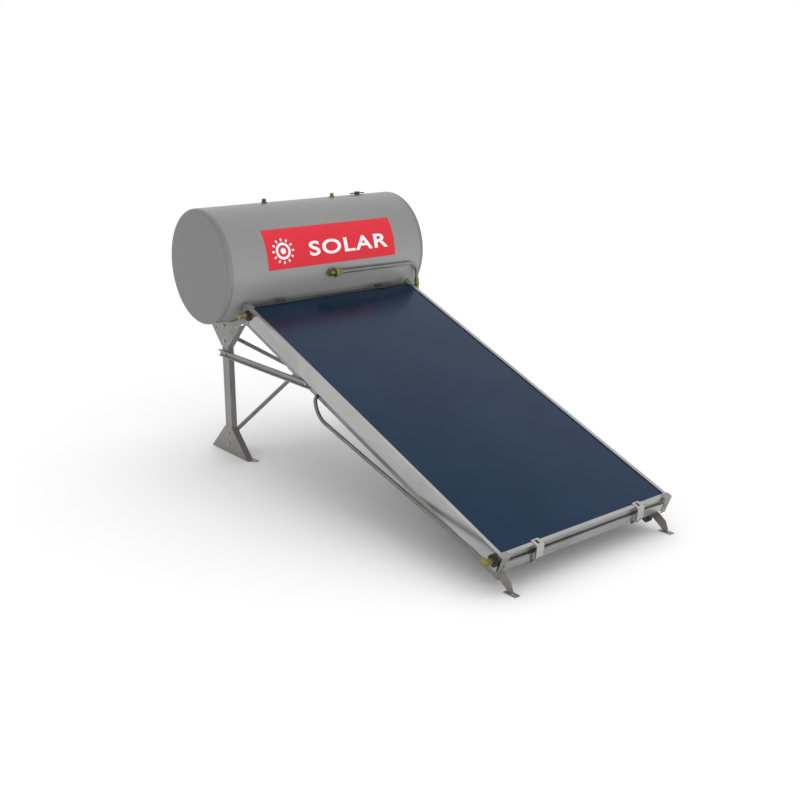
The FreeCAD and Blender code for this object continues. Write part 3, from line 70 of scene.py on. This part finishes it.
# The print on the label. The parts of the sun are fractions of its size.
INK_LIFT = 0.0003
STRIP_HEIGHT = 0.004
PRINT_DROP = 0.014
SUN_ACROSS = -0.300
SUN_SIZE = 0.128
SUN_RING = (0.23, 0.33)
SUN_DOT = (0.001, 0.12)
RING_STEPS = 48
DOT_STEPS = 24
RAYS = 12
RAY_START = 0.39
RAY_END = 0.50
RAY_HALF_WIDTH = 0.035
WORD_ACROSS = 0.098
WORD_DROP = 1.6 * PRINT_DROP
WORD_HEIGHT = 0.100
WORD_WEIGHT = 0.0022
WORD_SPACING = 1.12
WORD_STRETCH = 1.50

# The sealed joints at the ends of the tank.
SEAM_HALF = 0.0016
SEAM_SINK = 0.0007
SEAM_RISE = 0.0006
SEAM_POINTS = 8
TURN_STEPS = 192

# The collector's slope, and the dark blocks in the windows of the clamps on its edges: painted shade.
TILT = math.radians(21.0)
CLAMP_THICKNESS = 0.0025
SHADE_BLOCK_SINK = 0.75 * CLAMP_THICKNESS
SHADE_BLOCK_INSET = 0.017
SHADE_BLOCK_SIZE = (0.0135, 0.0215, 0.0018)
SHADE_BLOCK_ROUNDING = 0.3

# The studio. Spreads and directions of view are in degrees.
FLOOR_HALF = 60.0
WORLD_LEVEL = 1.0
KEY_LIGHT = {"towards": (-0.45, -0.35, -1.0), "spread": 75.0, "strength": 1.25}
FRONT_LIGHT = {"towards": (0.05, 1.0, 0.06), "spread": 90.0, "strength": 0.95}
BOUNCE_WIDTH = 1.9
BOUNCE_DEPTH = 0.5
BOUNCE_POWER = 6.3
BOUNCE_RECEIVERS = ("tank_jacket", "tank_end_cap_left", "tank_end_cap_right", "tank_label")
CAMERA_LENS = 50.0
CAMERA_SENSOR = 36.0
CAMERA_REACH = 300.0
CAMERA_AZIMUTH = -39.125
CAMERA_ELEVATION = 16.79
CAMERA_PLACE = (-3.2728, -3.9311, 1.9635)


# ---------------------------------------------------------------- material tools

class Surface:
    """A node material with a principled shader, read in the object's own coordinates."""

    def __init__(self, name):
        self.material = bpy.data.materials.new(name)
        self.material.use_nodes = True
        self.tree = self.material.node_tree
        self.shader = self.tree.nodes["Principled BSDF"]
        self.place = self.tree.nodes.new("ShaderNodeTexCoord").outputs["Object"]

    def add(self, kind, **sockets):
        """A node, with each input socket set to a value or joined to an output."""
        node = self.tree.nodes.new(kind)
        for key, item in sockets.items():
            self.feed(node.inputs[key.replace("_", " ")], item)
        return node

    def feed(self, socket, item):
        if isinstance(item, bpy.types.NodeSocket):
            self.tree.links.new(item, socket)
        else:
            socket.default_value = item

    def set(self, **sockets):
        """Sets the shader's own sockets."""
        for key, item in sockets.items():
            self.feed(self.shader.inputs[key.replace("_", " ")], item)

    def stretch(self, scale):
        """The object's coordinates, stretched by a scale on each axis."""
        return self.add("ShaderNodeMapping", Vector=self.place, Scale=scale).outputs["Vector"]

    def noise(self, scale, detail=4.0, where=None, distortion=0.0):
        """Grey noise with a mean of one half."""
        node = self.add("ShaderNodeTexNoise", Vector=where or self.place, Scale=scale, Detail=detail,
                        Distortion=distortion)
        return node.outputs["Fac"]

    def cells(self, scale, where=None):
        """One random grey for each cell of a Voronoi pattern."""
        node = self.add("ShaderNodeTexVoronoi", Vector=where or self.place, Scale=scale)
        return self.add("ShaderNodeSeparateColor", Color=node.outputs["Color"]).outputs[0]

    def span(self, source, low, high, start=0.3, end=0.7):
        """Maps a grey from start..end to low..high, held at both ends."""
        node = self.add("ShaderNodeMapRange", Value=source, From_Min=start, From_Max=end,
                        To_Min=low, To_Max=high)
        return node.outputs["Result"]

    def mix(self, factor, first, second):
        """Blends two colours."""
        node = self.tree.nodes.new("ShaderNodeMix")
        node.data_type = "RGBA"
        self.feed(node.inputs[0], factor)
        self.feed(node.inputs[6], first)
        self.feed(node.inputs[7], second)
        return node.outputs[2]

    def rough_bump(self, height, strength, distance, edge=0.0):
        """Bump from a grey, over edges rounded to a radius."""
        node = self.add("ShaderNodeBump", Height=height, Strength=strength, Distance=distance)
        if edge:
            rounded = self.add("ShaderNodeBevel", Radius=edge)
            self.feed(node.inputs["Normal"], rounded.outputs["Normal"])
        self.set(Normal=node.outputs["Normal"])

    def edge_wear_and_sheen(self, radius):
        """One along the edges and none on the flats."""
        rounded = self.add("ShaderNodeBevel", Radius=radius).outputs["Normal"]
        flat = self.add("ShaderNodeNewGeometry").outputs["Normal"]
        node = self.tree.nodes.new("ShaderNodeVectorMath")
        node.operation = "DOT_PRODUCT"
        self.feed(node.inputs[0], rounded)
        self.feed(node.inputs[1], flat)
        return self.span(node.outputs["Value"], 1.0, 0.0, EDGE_FULL_MARK, EDGE_CLEAN)

    def depth(self):
        """The distance back along Y."""
        return self.add("ShaderNodeSeparateXYZ", Vector=self.place).outputs["Y"]

    def height(self):
        """The height above the ground."""
        return self.add("ShaderNodeSeparateXYZ", Vector=self.place).outputs["Z"]


def grey(level, warm=0.0):
    """A grey colour, slightly warm or cool."""
    return (level * (1 + warm), level, level * (1 - warm), 1.0)


def tint(red, green, blue):
    """A colour with full alpha."""
    return (red, green, blue, 1.0)


# ---------------------------------------------------------------- materials

def galvanised():
    """Hot-dip galvanised folded sheet: spangle, dull patches and bright worn edges."""
    surface = Surface("galvanised_sheet")
    spangle = surface.cells(95.0)
    patches = surface.noise(5.0, 6.0, distortion=0.6)
    base = surface.mix(surface.span(patches, 0.0, 1.0), grey(0.20, 0.01), grey(0.29, 0.015))
    base = surface.mix(surface.span(spangle, 0.0, 0.35, 0.0, 1.0), base, grey(0.36))
    dust = surface.span(surface.height(), 0.35, 0.0, 0.0, 0.25)
    base = surface.mix(dust, base, tint(0.22, 0.20, 0.17))
    base = surface.mix(surface.edge_wear_and_sheen(0.0012), base, grey(0.42))
    surface.set(Base_Color=base, Metallic=0.75, Roughness=surface.span(spangle, 0.36, 0.56, 0.0, 1.0))
    surface.rough_bump(patches, 0.12, 0.002, 0.0012)
    return surface.material


def clamp_sheet():
    """Bright zinc sheet at the front edge, darker further back along Y as painted shade under the tank."""
    surface = Surface("clamp_sheet")
    patches = surface.noise(40.0, 5.0, distortion=0.5)
    spangle = surface.cells(140.0)
    base = surface.mix(surface.span(patches, 0.0, 1.0), grey(0.34, 0.01), grey(0.44, 0.01))
    base = surface.mix(surface.span(spangle, 0.0, 0.3, 0.0, 1.0), base, grey(0.52))
    # Painted shade: the sheet goes dark further back along Y, under the tank.
    painted_shade = surface.span(surface.depth(), 0.0, 0.9, 0.2, 0.6)
    base = surface.mix(painted_shade, base, grey(0.035, 0.03))
    base = surface.mix(surface.edge_wear_and_sheen(0.0008), base, grey(0.50))
    surface.set(Base_Color=base, Metallic=0.7, Roughness=surface.span(patches, 0.34, 0.52))
    surface.rough_bump(patches, 0.10, 0.0010, 0.0010)
    return surface.material


def anodised_frame(name, low, high, line):
    """Satin anodised aluminium with long die lines and faint smears."""
    surface = Surface(name)
    lines = surface.noise(1.0, 3.0, surface.stretch((420.0, 2.0, 420.0)))
    smears = surface.noise(3.0, 5.0, surface.stretch((1.0, 0.7, 2.0)), 1.2)
    base = surface.mix(surface.span(smears, 0.0, 1.0), grey(low), grey(high))
    base = surface.mix(surface.span(lines, 0.0, 0.25), base, grey(line))
    base = surface.mix(surface.edge_wear_and_sheen(0.0008), base, grey(high * 1.25))
    surface.set(Base_Color=base, Metallic=0.90, Roughness=surface.span(smears, 0.22, 0.36))
    surface.rough_bump(lines, 0.05, 0.0005, 0.0008)
    return surface.material


def collector_glass():
    """Low-iron solar glass over the dark absorber: a fine hammered face and a blue sheen."""
    surface = Surface("collector_glass")
    hammered = surface.noise(420.0, 2.0)
    film = surface.noise(2.2, 5.0, distortion=0.8)
    base = surface.mix(surface.span(film, 0.0, 1.0), tint(0.003, 0.012, 0.026), tint(0.006, 0.017, 0.038))
    surface.set(Base_Color=base, Metallic=0.0, Roughness=surface.span(film, 0.13, 0.22), Alpha=0.85,
                IOR=1.42, Specular_Tint=tint(0.04, 0.34, 1.0))
    surface.rough_bump(hammered, 0.015, 0.0003)
    return surface.material


def selective_absorber():
    """Blue-black selective coating with the faint ribs of the tube welds."""
    surface = Surface("selective_absorber")
    ribs = surface.noise(1.0, 2.0, surface.stretch((60.0, 0.3, 0.3)))
    cloud = surface.noise(3.0, 5.0)
    base = surface.mix(surface.span(cloud, 0.0, 1.0), tint(0.006, 0.009, 0.020), tint(0.012, 0.018, 0.042))
    surface.set(Base_Color=base, Metallic=0.35, Roughness=surface.span(ribs, 0.32, 0.46))
    surface.rough_bump(ribs, 0.2, 0.002)
    return surface.material


def tank_paint(name, level):
    """Grey powder coat: fine orange peel, slight clouding and a painted highlight along the rounded edges.
    """
    surface = Surface(name)
    peel = surface.noise(520.0, 2.0)
    cloud = surface.noise(2.4, 6.0, distortion=0.5)
    base = surface.mix(surface.span(cloud, 0.0, 1.0), grey(level * 0.95, 0.004), grey(level * 1.05, 0.004))
    # Painted highlight: a lighter grey along the rounded edges, such as the rims of the end caps.
    base = surface.mix(surface.edge_wear_and_sheen(0.004), base, grey(level * 1.4))
    surface.set(Base_Color=base, Metallic=0.15, Roughness=surface.span(cloud, 0.36, 0.46), Coat_Weight=0.12,
                Coat_Roughness=0.30)
    surface.rough_bump(peel, 0.10, 0.0004, 0.002)
    return surface.material


def label_film():
    """Glossy red printed film, lighter towards the top and darker towards the bottom as painted light and
    shade.
    """
    surface = Surface("label_film")
    fibre = surface.noise(700.0, 2.0)
    cloud = surface.noise(4.0, 4.0)
    low, high = (corner[2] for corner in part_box("tank_label"))
    # Painted light and shade: darker at the bottom of the label, lighter at its top.
    painted_light_shade = surface.span(surface.height(), 0.0, 1.0, low, high)
    base = surface.mix(painted_light_shade, tint(0.44, 0.010, 0.018), tint(0.55, 0.013, 0.028))
    base = surface.mix(surface.span(cloud, 0.0, 0.12), base, tint(0.38, 0.007, 0.014))
    surface.set(Base_Color=base, Roughness=surface.span(fibre, 0.40, 0.52), Specular_IOR_Level=0.3)
    surface.rough_bump(fibre, 0.04, 0.0003)
    return surface.material


def label_ink():
    """White print on the label, slightly uneven."""
    surface = Surface("label_ink")
    grain = surface.noise(260.0, 3.0)
    base = surface.mix(surface.span(grain, 0.0, 1.0), grey(0.74), grey(0.84))
    surface.set(Base_Color=base, Roughness=surface.span(grain, 0.38, 0.52))
    surface.rough_bump(grain, 0.05, 0.0002)
    return surface.material


def tarnished_brass(name, low, high, blotch, rough):
    """Cast metal fitting with tarnish in blotches and bright rubbed edges."""
    surface = Surface(name)
    blotches = surface.noise(46.0, 6.0, distortion=0.5)
    grain = surface.noise(900.0, 2.0)
    base = surface.mix(surface.span(blotches, 0.0, 1.0), low, high)
    base = surface.mix(surface.span(surface.noise(120.0, 3.0), 0.0, 0.35, 0.5, 0.8), base, blotch)
    base = surface.mix(surface.edge_wear_and_sheen(0.0008), base, tint(0.66, 0.58, 0.34))
    surface.set(Base_Color=base, Metallic=0.85, Roughness=surface.span(blotches, rough, rough + 0.16))
    surface.rough_bump(grain, 0.12, 0.0005, 0.0010)
    return surface.material


def drawn_pipe(name, level):
    """Drawn steel pipe with fine lines and dull blotches."""
    surface = Surface(name)
    lines = surface.noise(340.0, 3.0)
    blotches = surface.noise(9.0, 5.0, distortion=0.8)
    base = surface.mix(surface.span(blotches, 0.0, 1.0), grey(level * 0.8), grey(level * 1.2))
    base = surface.mix(surface.span(lines, 0.0, 0.15), base, grey(level * 0.5))
    surface.set(Base_Color=base, Metallic=0.85, Roughness=surface.span(blotches, 0.28, 0.44))
    surface.rough_bump(lines, 0.05, 0.0004)
    return surface.material


def moulded_rubber():
    """Black rubber with a dusty bloom and a fine grain."""
    surface = Surface("moulded_rubber")
    grain = surface.noise(640.0, 3.0)
    bloom = surface.noise(14.0, 5.0)
    base = surface.mix(surface.span(bloom, 0.0, 1.0), grey(0.014), grey(0.034))
    surface.set(Base_Color=base, Roughness=surface.span(bloom, 0.55, 0.75), Specular_IOR_Level=0.35)
    surface.rough_bump(grain, 0.2, 0.0004, 0.0012)
    return surface.material


def zinc_plate():
    """Bright zinc-plated bolts with a faint yellow cast."""
    surface = Surface("zinc_plate")
    stain = surface.noise(60.0, 4.0)
    base = surface.mix(surface.span(stain, 0.0, 1.0), grey(0.34, 0.03), grey(0.50, 0.04))
    surface.set(Base_Color=base, Metallic=0.95, Roughness=surface.span(stain, 0.24, 0.42))
    surface.rough_bump(stain, 0.08, 0.0005, 0.0008)
    return surface.material


def hidden_part(name, low, high, metallic, rough, scale):
    """Parts inside the tank and the collector: mottled colour and a grain at one scale."""
    surface = Surface(name)
    mottle = surface.noise(scale, 5.0)
    grain = surface.noise(scale * 12.0, 3.0)
    base = surface.mix(surface.span(mottle, 0.0, 1.0), low, high)
    surface.set(Base_Color=base, Metallic=metallic, Roughness=surface.span(mottle, rough, rough + 0.15))
    surface.rough_bump(grain, 0.25, 0.001)
    return surface.material


def seam_dirt():
    """Dark sealant in the seams of the tank."""
    surface = Surface("seam_sealant")
    grain = surface.noise(180.0, 4.0)
    base = surface.mix(surface.span(grain, 0.0, 1.0), grey(0.045), grey(0.085))
    surface.set(Base_Color=base, Roughness=surface.span(grain, 0.55, 0.75))
    surface.rough_bump(grain, 0.2, 0.0005)
    return surface.material


MATERIALS = {
    "galvanised_steel": galvanised(),
    "frame_aluminium": anodised_frame("anodised_frame", 0.34, 0.46, 0.25),
    "solar_glass": collector_glass(),
    "selective_black": selective_absorber(),
    "tank_paint": tank_paint("tank_powder_coat", 0.186),
    "label_red": label_film(),
    "brass": tarnished_brass("tarnished_brass", tint(0.15, 0.14, 0.045), tint(0.30, 0.27, 0.09),
                             tint(0.06, 0.06, 0.03), 0.30),
    "copper": tarnished_brass("header_copper", tint(0.40, 0.17, 0.08), tint(0.62, 0.30, 0.17),
                              tint(0.14, 0.07, 0.04), 0.28),
    "pipe_metal": drawn_pipe("return_pipe_metal", 0.17),
    "rubber": moulded_rubber(),
    "zinc_bolts": zinc_plate(),
    "enamelled_steel": hidden_part("vessel_enamel", tint(0.010, 0.016, 0.040), tint(0.020, 0.030, 0.070),
                                   0.2, 0.2, 8.0),
    "magnesium": hidden_part("anode_magnesium", grey(0.30), grey(0.42), 0.8, 0.5, 30.0),
    "foam": hidden_part("tank_foam", tint(0.60, 0.50, 0.24), tint(0.74, 0.64, 0.36), 0.0, 0.8, 25.0),
    "mineral_wool": hidden_part("mineral_wool", tint(0.34, 0.28, 0.10), tint(0.50, 0.42, 0.18),
                                0.0, 0.85, 40.0),
}


OWN_MATERIALS = (
    # Painted shade: the end caps and the service cover get a darker copy of the tank's powder coat.
    (tank_paint("shaded_end_coat", 0.143), ("tank_end_cap_left", "tank_end_cap_right", "service_cover")),
    # Painted light: the hot pipe gets a lighter copy of the pipe metal.
    (drawn_pipe("lit_hot_pipe_metal", 0.24), ("hot_pipe",)),
    (clamp_sheet(), ("collector_clamps",)),
    (anodised_frame("cross_rail_metal", 0.34, 0.46, 0.25), ("front_cross_rail",)),
    # Painted shade: the upper end of the frame gets a darker copy of the frame metal.
    (anodised_frame("shaded_frame", 0.09, 0.14, 0.06), ("frame_end_upper",)),
    (tarnished_brass("dark_fitting", grey(0.045, 0.04), grey(0.10, 0.05), grey(0.02), 0.38),
     ("filler_plug", "relief_valve_body", "relief_valve_knob")),
)


def dress_cad():
    """Gives every CAD node the material of its slot, or its own where it differs; several own materials are
    darker or lighter copies painted as shade and light.
    """
    for entry in frame["record"]["subparts"]:
        node = cad[entry["node"]]
        node.data.materials.clear()
        node.data.materials.append(MATERIALS[entry["material_slot"]])
    for material, names in OWN_MATERIALS:
        for name in names:
            cad[name].data.materials[0] = material


# ---------------------------------------------------------------- pieces on the tank

TANK_LOW, TANK_HIGH = (Vector(corner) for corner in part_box("tank_jacket"))
TANK_RADIUS = (TANK_HIGH.y - TANK_LOW.y) / 2
TANK_Y = (TANK_LOW.y + TANK_HIGH.y) / 2
TANK_Z = (TANK_LOW.z + TANK_HIGH.z) / 2
LABEL_LOW, LABEL_HIGH = (Vector(corner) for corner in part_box("tank_label"))
LABEL_RADIUS = TANK_Y - LABEL_LOW.y
INK = label_ink()
SEALANT = seam_dirt()


def new_piece(name, mesh, material):
    """Links a mesh as a named piece that rides on the heater."""
    mesh.materials.clear()
    mesh.materials.append(material)
    piece = bpy.data.objects.new(name, mesh)
    bpy.context.scene.collection.objects.link(piece)
    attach(piece, "heater")


def on_label(across, up):
    """Point on the label's face, from its middle: across along the tank, and up round it."""
    low_angle = math.asin((LABEL_LOW.z - TANK_Z) / LABEL_RADIUS)
    high_angle = math.asin((LABEL_HIGH.z - TANK_Z) / LABEL_RADIUS)
    angle = (low_angle + high_angle) / 2 + up / LABEL_RADIUS
    radius = LABEL_RADIUS + INK_LIFT
    x = (LABEL_LOW.x + LABEL_HIGH.x) / 2 + across
    return Vector((x, TANK_Y - radius * math.cos(angle), TANK_Z + radius * math.sin(angle)))


def wrap_on_label(name, flat):
    """Cuts a flat drawing into strips and bends it round the label."""
    mesh = bmesh.new()
    mesh.from_mesh(flat)
    heights = [vertex.co.y for vertex in mesh.verts]
    level = min(heights) + STRIP_HEIGHT
    while level < max(heights):
        everything = mesh.verts[:] + mesh.edges[:] + mesh.faces[:]
        bmesh.ops.bisect_plane(mesh, geom=everything, plane_co=(0, level, 0), plane_no=(0, 1, 0))
        level += STRIP_HEIGHT
    bmesh.ops.remove_doubles(mesh, verts=mesh.verts[:], dist=TOUCHING)
    for vertex in mesh.verts:
        vertex.co = on_label(vertex.co.x, vertex.co.y)
    bmesh.ops.recalc_face_normals(mesh, faces=mesh.faces[:])
    outward = sum(face.normal.y * face.calc_area() for face in mesh.faces)
    if outward > 0:
        bmesh.ops.reverse_faces(mesh, faces=mesh.faces[:])
    done = bpy.data.meshes.new(name)
    mesh.to_mesh(done)
    mesh.free()
    new_piece(name, done, INK)


def flat_polygons(name, outlines):
    """A flat drawing from outlines in the XY plane."""
    mesh = bmesh.new()
    for outline in outlines:
        corners = [mesh.verts.new((x, y, 0)) for x, y in outline]
        mesh.faces.new(corners)
    flat = bpy.data.meshes.new(name)
    mesh.to_mesh(flat)
    mesh.free()
    return flat


def flat_ring(middle, parts, steps):
    """Quads of a flat ring, with its inner and outer radius as parts of the sun's size."""
    inner, outer = (SUN_SIZE * part for part in parts)
    quads = []
    for index in range(steps):
        first = 2 * math.pi * index / steps
        last = 2 * math.pi * (index + 1) / steps
        quads.append([(middle[0] + radius * math.cos(angle), middle[1] + radius * math.sin(angle))
                      for radius, angle in ((inner, first), (outer, first), (outer, last), (inner, last))])
    return quads


def label_sun():
    """A plain sun: a ring, a dot and short rays."""
    middle = (SUN_ACROSS, -PRINT_DROP)
    outlines = flat_ring(middle, SUN_RING, RING_STEPS)
    outlines += flat_ring(middle, SUN_DOT, DOT_STEPS)
    for index in range(RAYS):
        angle = 2 * math.pi * index / RAYS
        along = Vector((math.cos(angle), math.sin(angle)))
        side = Vector((-along.y, along.x)) * SUN_SIZE * RAY_HALF_WIDTH
        near = Vector(middle) + along * SUN_SIZE * RAY_START
        far = Vector(middle) + along * SUN_SIZE * RAY_END
        outlines.append([tuple(near - side), tuple(far - side), tuple(far + side), tuple(near + side)])
    wrap_on_label("label_sun", flat_polygons("label_sun_flat", outlines))


def label_word():
    """A generic word in plain capitals."""
    curve = bpy.data.curves.new("label_word_curve", "FONT")
    curve.body = "SOLAR"
    curve.size = WORD_HEIGHT
    curve.align_x = "CENTER"
    curve.align_y = "CENTER"
    curve.offset = WORD_WEIGHT
    curve.space_character = WORD_SPACING
    curve.resolution_u = 10
    text = bpy.data.objects.new("label_word_text", curve)
    flat = bpy.data.meshes.new_from_object(text)
    bpy.data.objects.remove(text)
    for vertex in flat.vertices:
        vertex.co.x = vertex.co.x * WORD_STRETCH + WORD_ACROSS
        vertex.co.y -= WORD_DROP
    wrap_on_label("label_word", flat)


def lathe(name, axis, profile, material):
    """Turns a closed profile of (along, radius) pairs round a line parallel to X through axis (y, z)."""
    mesh = bmesh.new()
    rings = []
    for index in range(TURN_STEPS):
        angle = 2 * math.pi * index / TURN_STEPS
        across = math.cos(angle)
        up = math.sin(angle)
        rings.append([mesh.verts.new((along, axis[0] + radius * across, axis[1] + radius * up))
                      for along, radius in profile])
    count = len(profile)
    for index in range(TURN_STEPS):
        here, there = rings[index], rings[(index + 1) % TURN_STEPS]
        for corner in range(count):
            after = (corner + 1) % count
            mesh.faces.new((here[corner], there[corner], there[after], here[after]))
    bmesh.ops.recalc_face_normals(mesh, faces=mesh.faces[:])
    for face in mesh.faces:
        face.smooth = True
    done = bpy.data.meshes.new(name)
    mesh.to_mesh(done)
    mesh.free()
    new_piece(name, done, material)


def tank_seams():
    """The sealed joints between the jacket and the end caps."""
    turns = [2 * math.pi * index / SEAM_POINTS for index in range(SEAM_POINTS)]
    for side, x in (("left", TANK_LOW.x), ("right", TANK_HIGH.x)):
        profile = [(x + SEAM_HALF * math.cos(turn), TANK_RADIUS - SEAM_SINK + SEAM_RISE * math.sin(turn))
                   for turn in turns]
        lathe("tank_seam_" + side, (TANK_Y, TANK_Z), profile, SEALANT)


def islands(mesh):
    """The corner points of each separate solid of a mesh, in the mesh's own order."""
    net = bmesh.new()
    net.from_mesh(mesh)
    bmesh.ops.remove_doubles(net, verts=net.verts[:], dist=TOUCHING)
    reached = set()
    groups = []
    for start in net.verts:
        if start in reached:
            continue
        reached.add(start)
        front = [start]
        group = []
        while front:
            vertex = front.pop()
            group.append(vertex.co.copy())
            for edge in vertex.link_edges:
                other = edge.other_vert(vertex)
                if other not in reached:
                    reached.add(other)
                    front.append(other)
        groups.append(group)
    net.free()
    return groups


def rounded_block(name, centre, sizes, turn, material):
    """A small block with rounded edges, turned about X."""
    mesh = bmesh.new()
    bmesh.ops.create_cube(mesh, size=1.0)
    for vertex in mesh.verts:
        vertex.co = Vector([coordinate * size for coordinate, size in zip(vertex.co, sizes)])
    bmesh.ops.bevel(mesh, geom=mesh.edges[:], offset=min(sizes) * SHADE_BLOCK_ROUNDING, segments=3,
                    affect="EDGES", profile=0.5)
    spin = Matrix.Rotation(turn, 3, "X")
    for vertex in mesh.verts:
        vertex.co = spin @ vertex.co + centre
    for face in mesh.faces:
        face.smooth = True
    done = bpy.data.meshes.new(name)
    mesh.to_mesh(done)
    mesh.free()
    new_piece(name, done, material)


def window_shade_blocks():
    """Dark rubber blocks sunk in the windows of the clamps' tabs, as painted shade."""
    along = Vector((0, math.cos(TILT), math.sin(TILT)))
    out = Vector((0, -math.sin(TILT), math.cos(TILT)))
    for index, points in enumerate(islands(cad["collector_clamps"].data)):
        middle_x = (min(p.x for p in points) + max(p.x for p in points)) / 2
        steps = [p.dot(along) for p in points]
        top = max(p.dot(out) for p in points)
        tab = [p.dot(along) for p in points if p.dot(out) > top - CLAMP_THICKNESS / 2]
        lower = sum(steps) / len(steps) < sum(tab) / len(tab)
        step = max(tab) - SHADE_BLOCK_INSET if lower else min(tab) + SHADE_BLOCK_INSET
        centre = Vector((middle_x, 0, 0)) + along * step + out * (top - SHADE_BLOCK_SINK)
        # Painted shade: a dark block fills each clamp's window.
        rounded_block("clamp_window_shade_%d" % index, centre, SHADE_BLOCK_SIZE, TILT, MATERIALS["rubber"])


# ---------------------------------------------------------------- studio

def floor_material():
    """Pale floor with a barely visible mottle."""
    surface = Surface("studio_floor")
    cloud = surface.noise(0.8, 3.0)
    base = surface.mix(surface.span(cloud, 0.0, 1.0), grey(0.745), grey(0.760))
    surface.set(Base_Color=base, Roughness=surface.span(cloud, 0.85, 0.95), Specular_IOR_Level=0.1)
    return surface.material


def studio_floor():
    """A wide flat floor under the object."""
    corners = [(x * FLOOR_HALF, y * FLOOR_HALF, 0) for x, y in ((-1, -1), (1, -1), (1, 1), (-1, 1))]
    mesh = bpy.data.meshes.new("studio_floor")
    mesh.from_pydata(corners, [], [(0, 1, 2, 3)])
    mesh.materials.append(floor_material())
    floor = bpy.data.objects.new("studio_floor", mesh)
    floor.location.z = cad_box[0][2]
    bpy.context.scene.collection.objects.link(floor)


def soft_light(name, towards, spread, strength):
    """Even light from far away, as soft as a sky panel of that spread in degrees."""
    data = bpy.data.lights.new(name, "SUN")
    data.angle = math.radians(spread)
    data.energy = strength
    light = bpy.data.objects.new(name, data)
    light.rotation_euler = Vector(towards).to_track_quat("-Z", "Y").to_euler()
    light.visible_glossy = False
    bpy.context.scene.collection.objects.link(light)


def bounce_light():
    """Skylight thrown back by the ground and the glass, on the tank's skin alone."""
    data = bpy.data.lights.new("bounce_light", "AREA")
    data.shape = "RECTANGLE"
    data.size = BOUNCE_WIDTH
    data.size_y = BOUNCE_DEPTH
    data.energy = BOUNCE_POWER
    light = bpy.data.objects.new("bounce_light", data)
    light.location = (0.0, TANK_Y - 2.6 * TANK_RADIUS, TANK_Z - TANK_RADIUS)
    aim = Vector((0.0, TANK_Y, TANK_Z - 0.4 * TANK_RADIUS)) - light.location
    light.rotation_euler = aim.to_track_quat("-Z", "Y").to_euler()
    light.visible_glossy = False
    light.visible_camera = False
    lit = bpy.data.collections.new("bounce_receivers")
    for name in BOUNCE_RECEIVERS:
        lit.objects.link(cad[name])
    light.light_linking.receiver_collection = lit
    bpy.context.scene.collection.objects.link(light)


def studio_world(level):
    """Even white surroundings."""
    world = bpy.data.worlds.new("studio")
    world.use_nodes = True
    background = world.node_tree.nodes["Background"]
    background.inputs["Color"].default_value = (1.0, 1.0, 1.0, 1.0)
    background.inputs["Strength"].default_value = level
    bpy.context.scene.world = world


def studio_camera():
    """A 50 mm lens in front of the heater, to its left and a little above it."""
    azimuth = math.radians(CAMERA_AZIMUTH)
    elevation = math.radians(CAMERA_ELEVATION)
    back = Vector((math.sin(azimuth) * math.cos(elevation), -math.cos(azimuth) * math.cos(elevation),
                   math.sin(elevation)))
    data = bpy.data.cameras.new("camera")
    data.lens = CAMERA_LENS
    data.sensor_width = CAMERA_SENSOR
    data.clip_end = CAMERA_REACH
    camera = bpy.data.objects.new("camera", data)
    camera.location = CAMERA_PLACE
    camera.rotation_euler = (-back).to_track_quat("-Z", "Y").to_euler()
    bpy.context.scene.collection.objects.link(camera)
    bpy.context.scene.camera = camera


dress_cad()
label_sun()
label_word()
tank_seams()
window_shade_blocks()
studio_floor()
studio_world(WORLD_LEVEL)
soft_light("key_light", **KEY_LIGHT)
soft_light("front_light", **FRONT_LIGHT)
bounce_light()
studio_camera()
bpy.context.scene.view_settings.view_transform = "Standard"
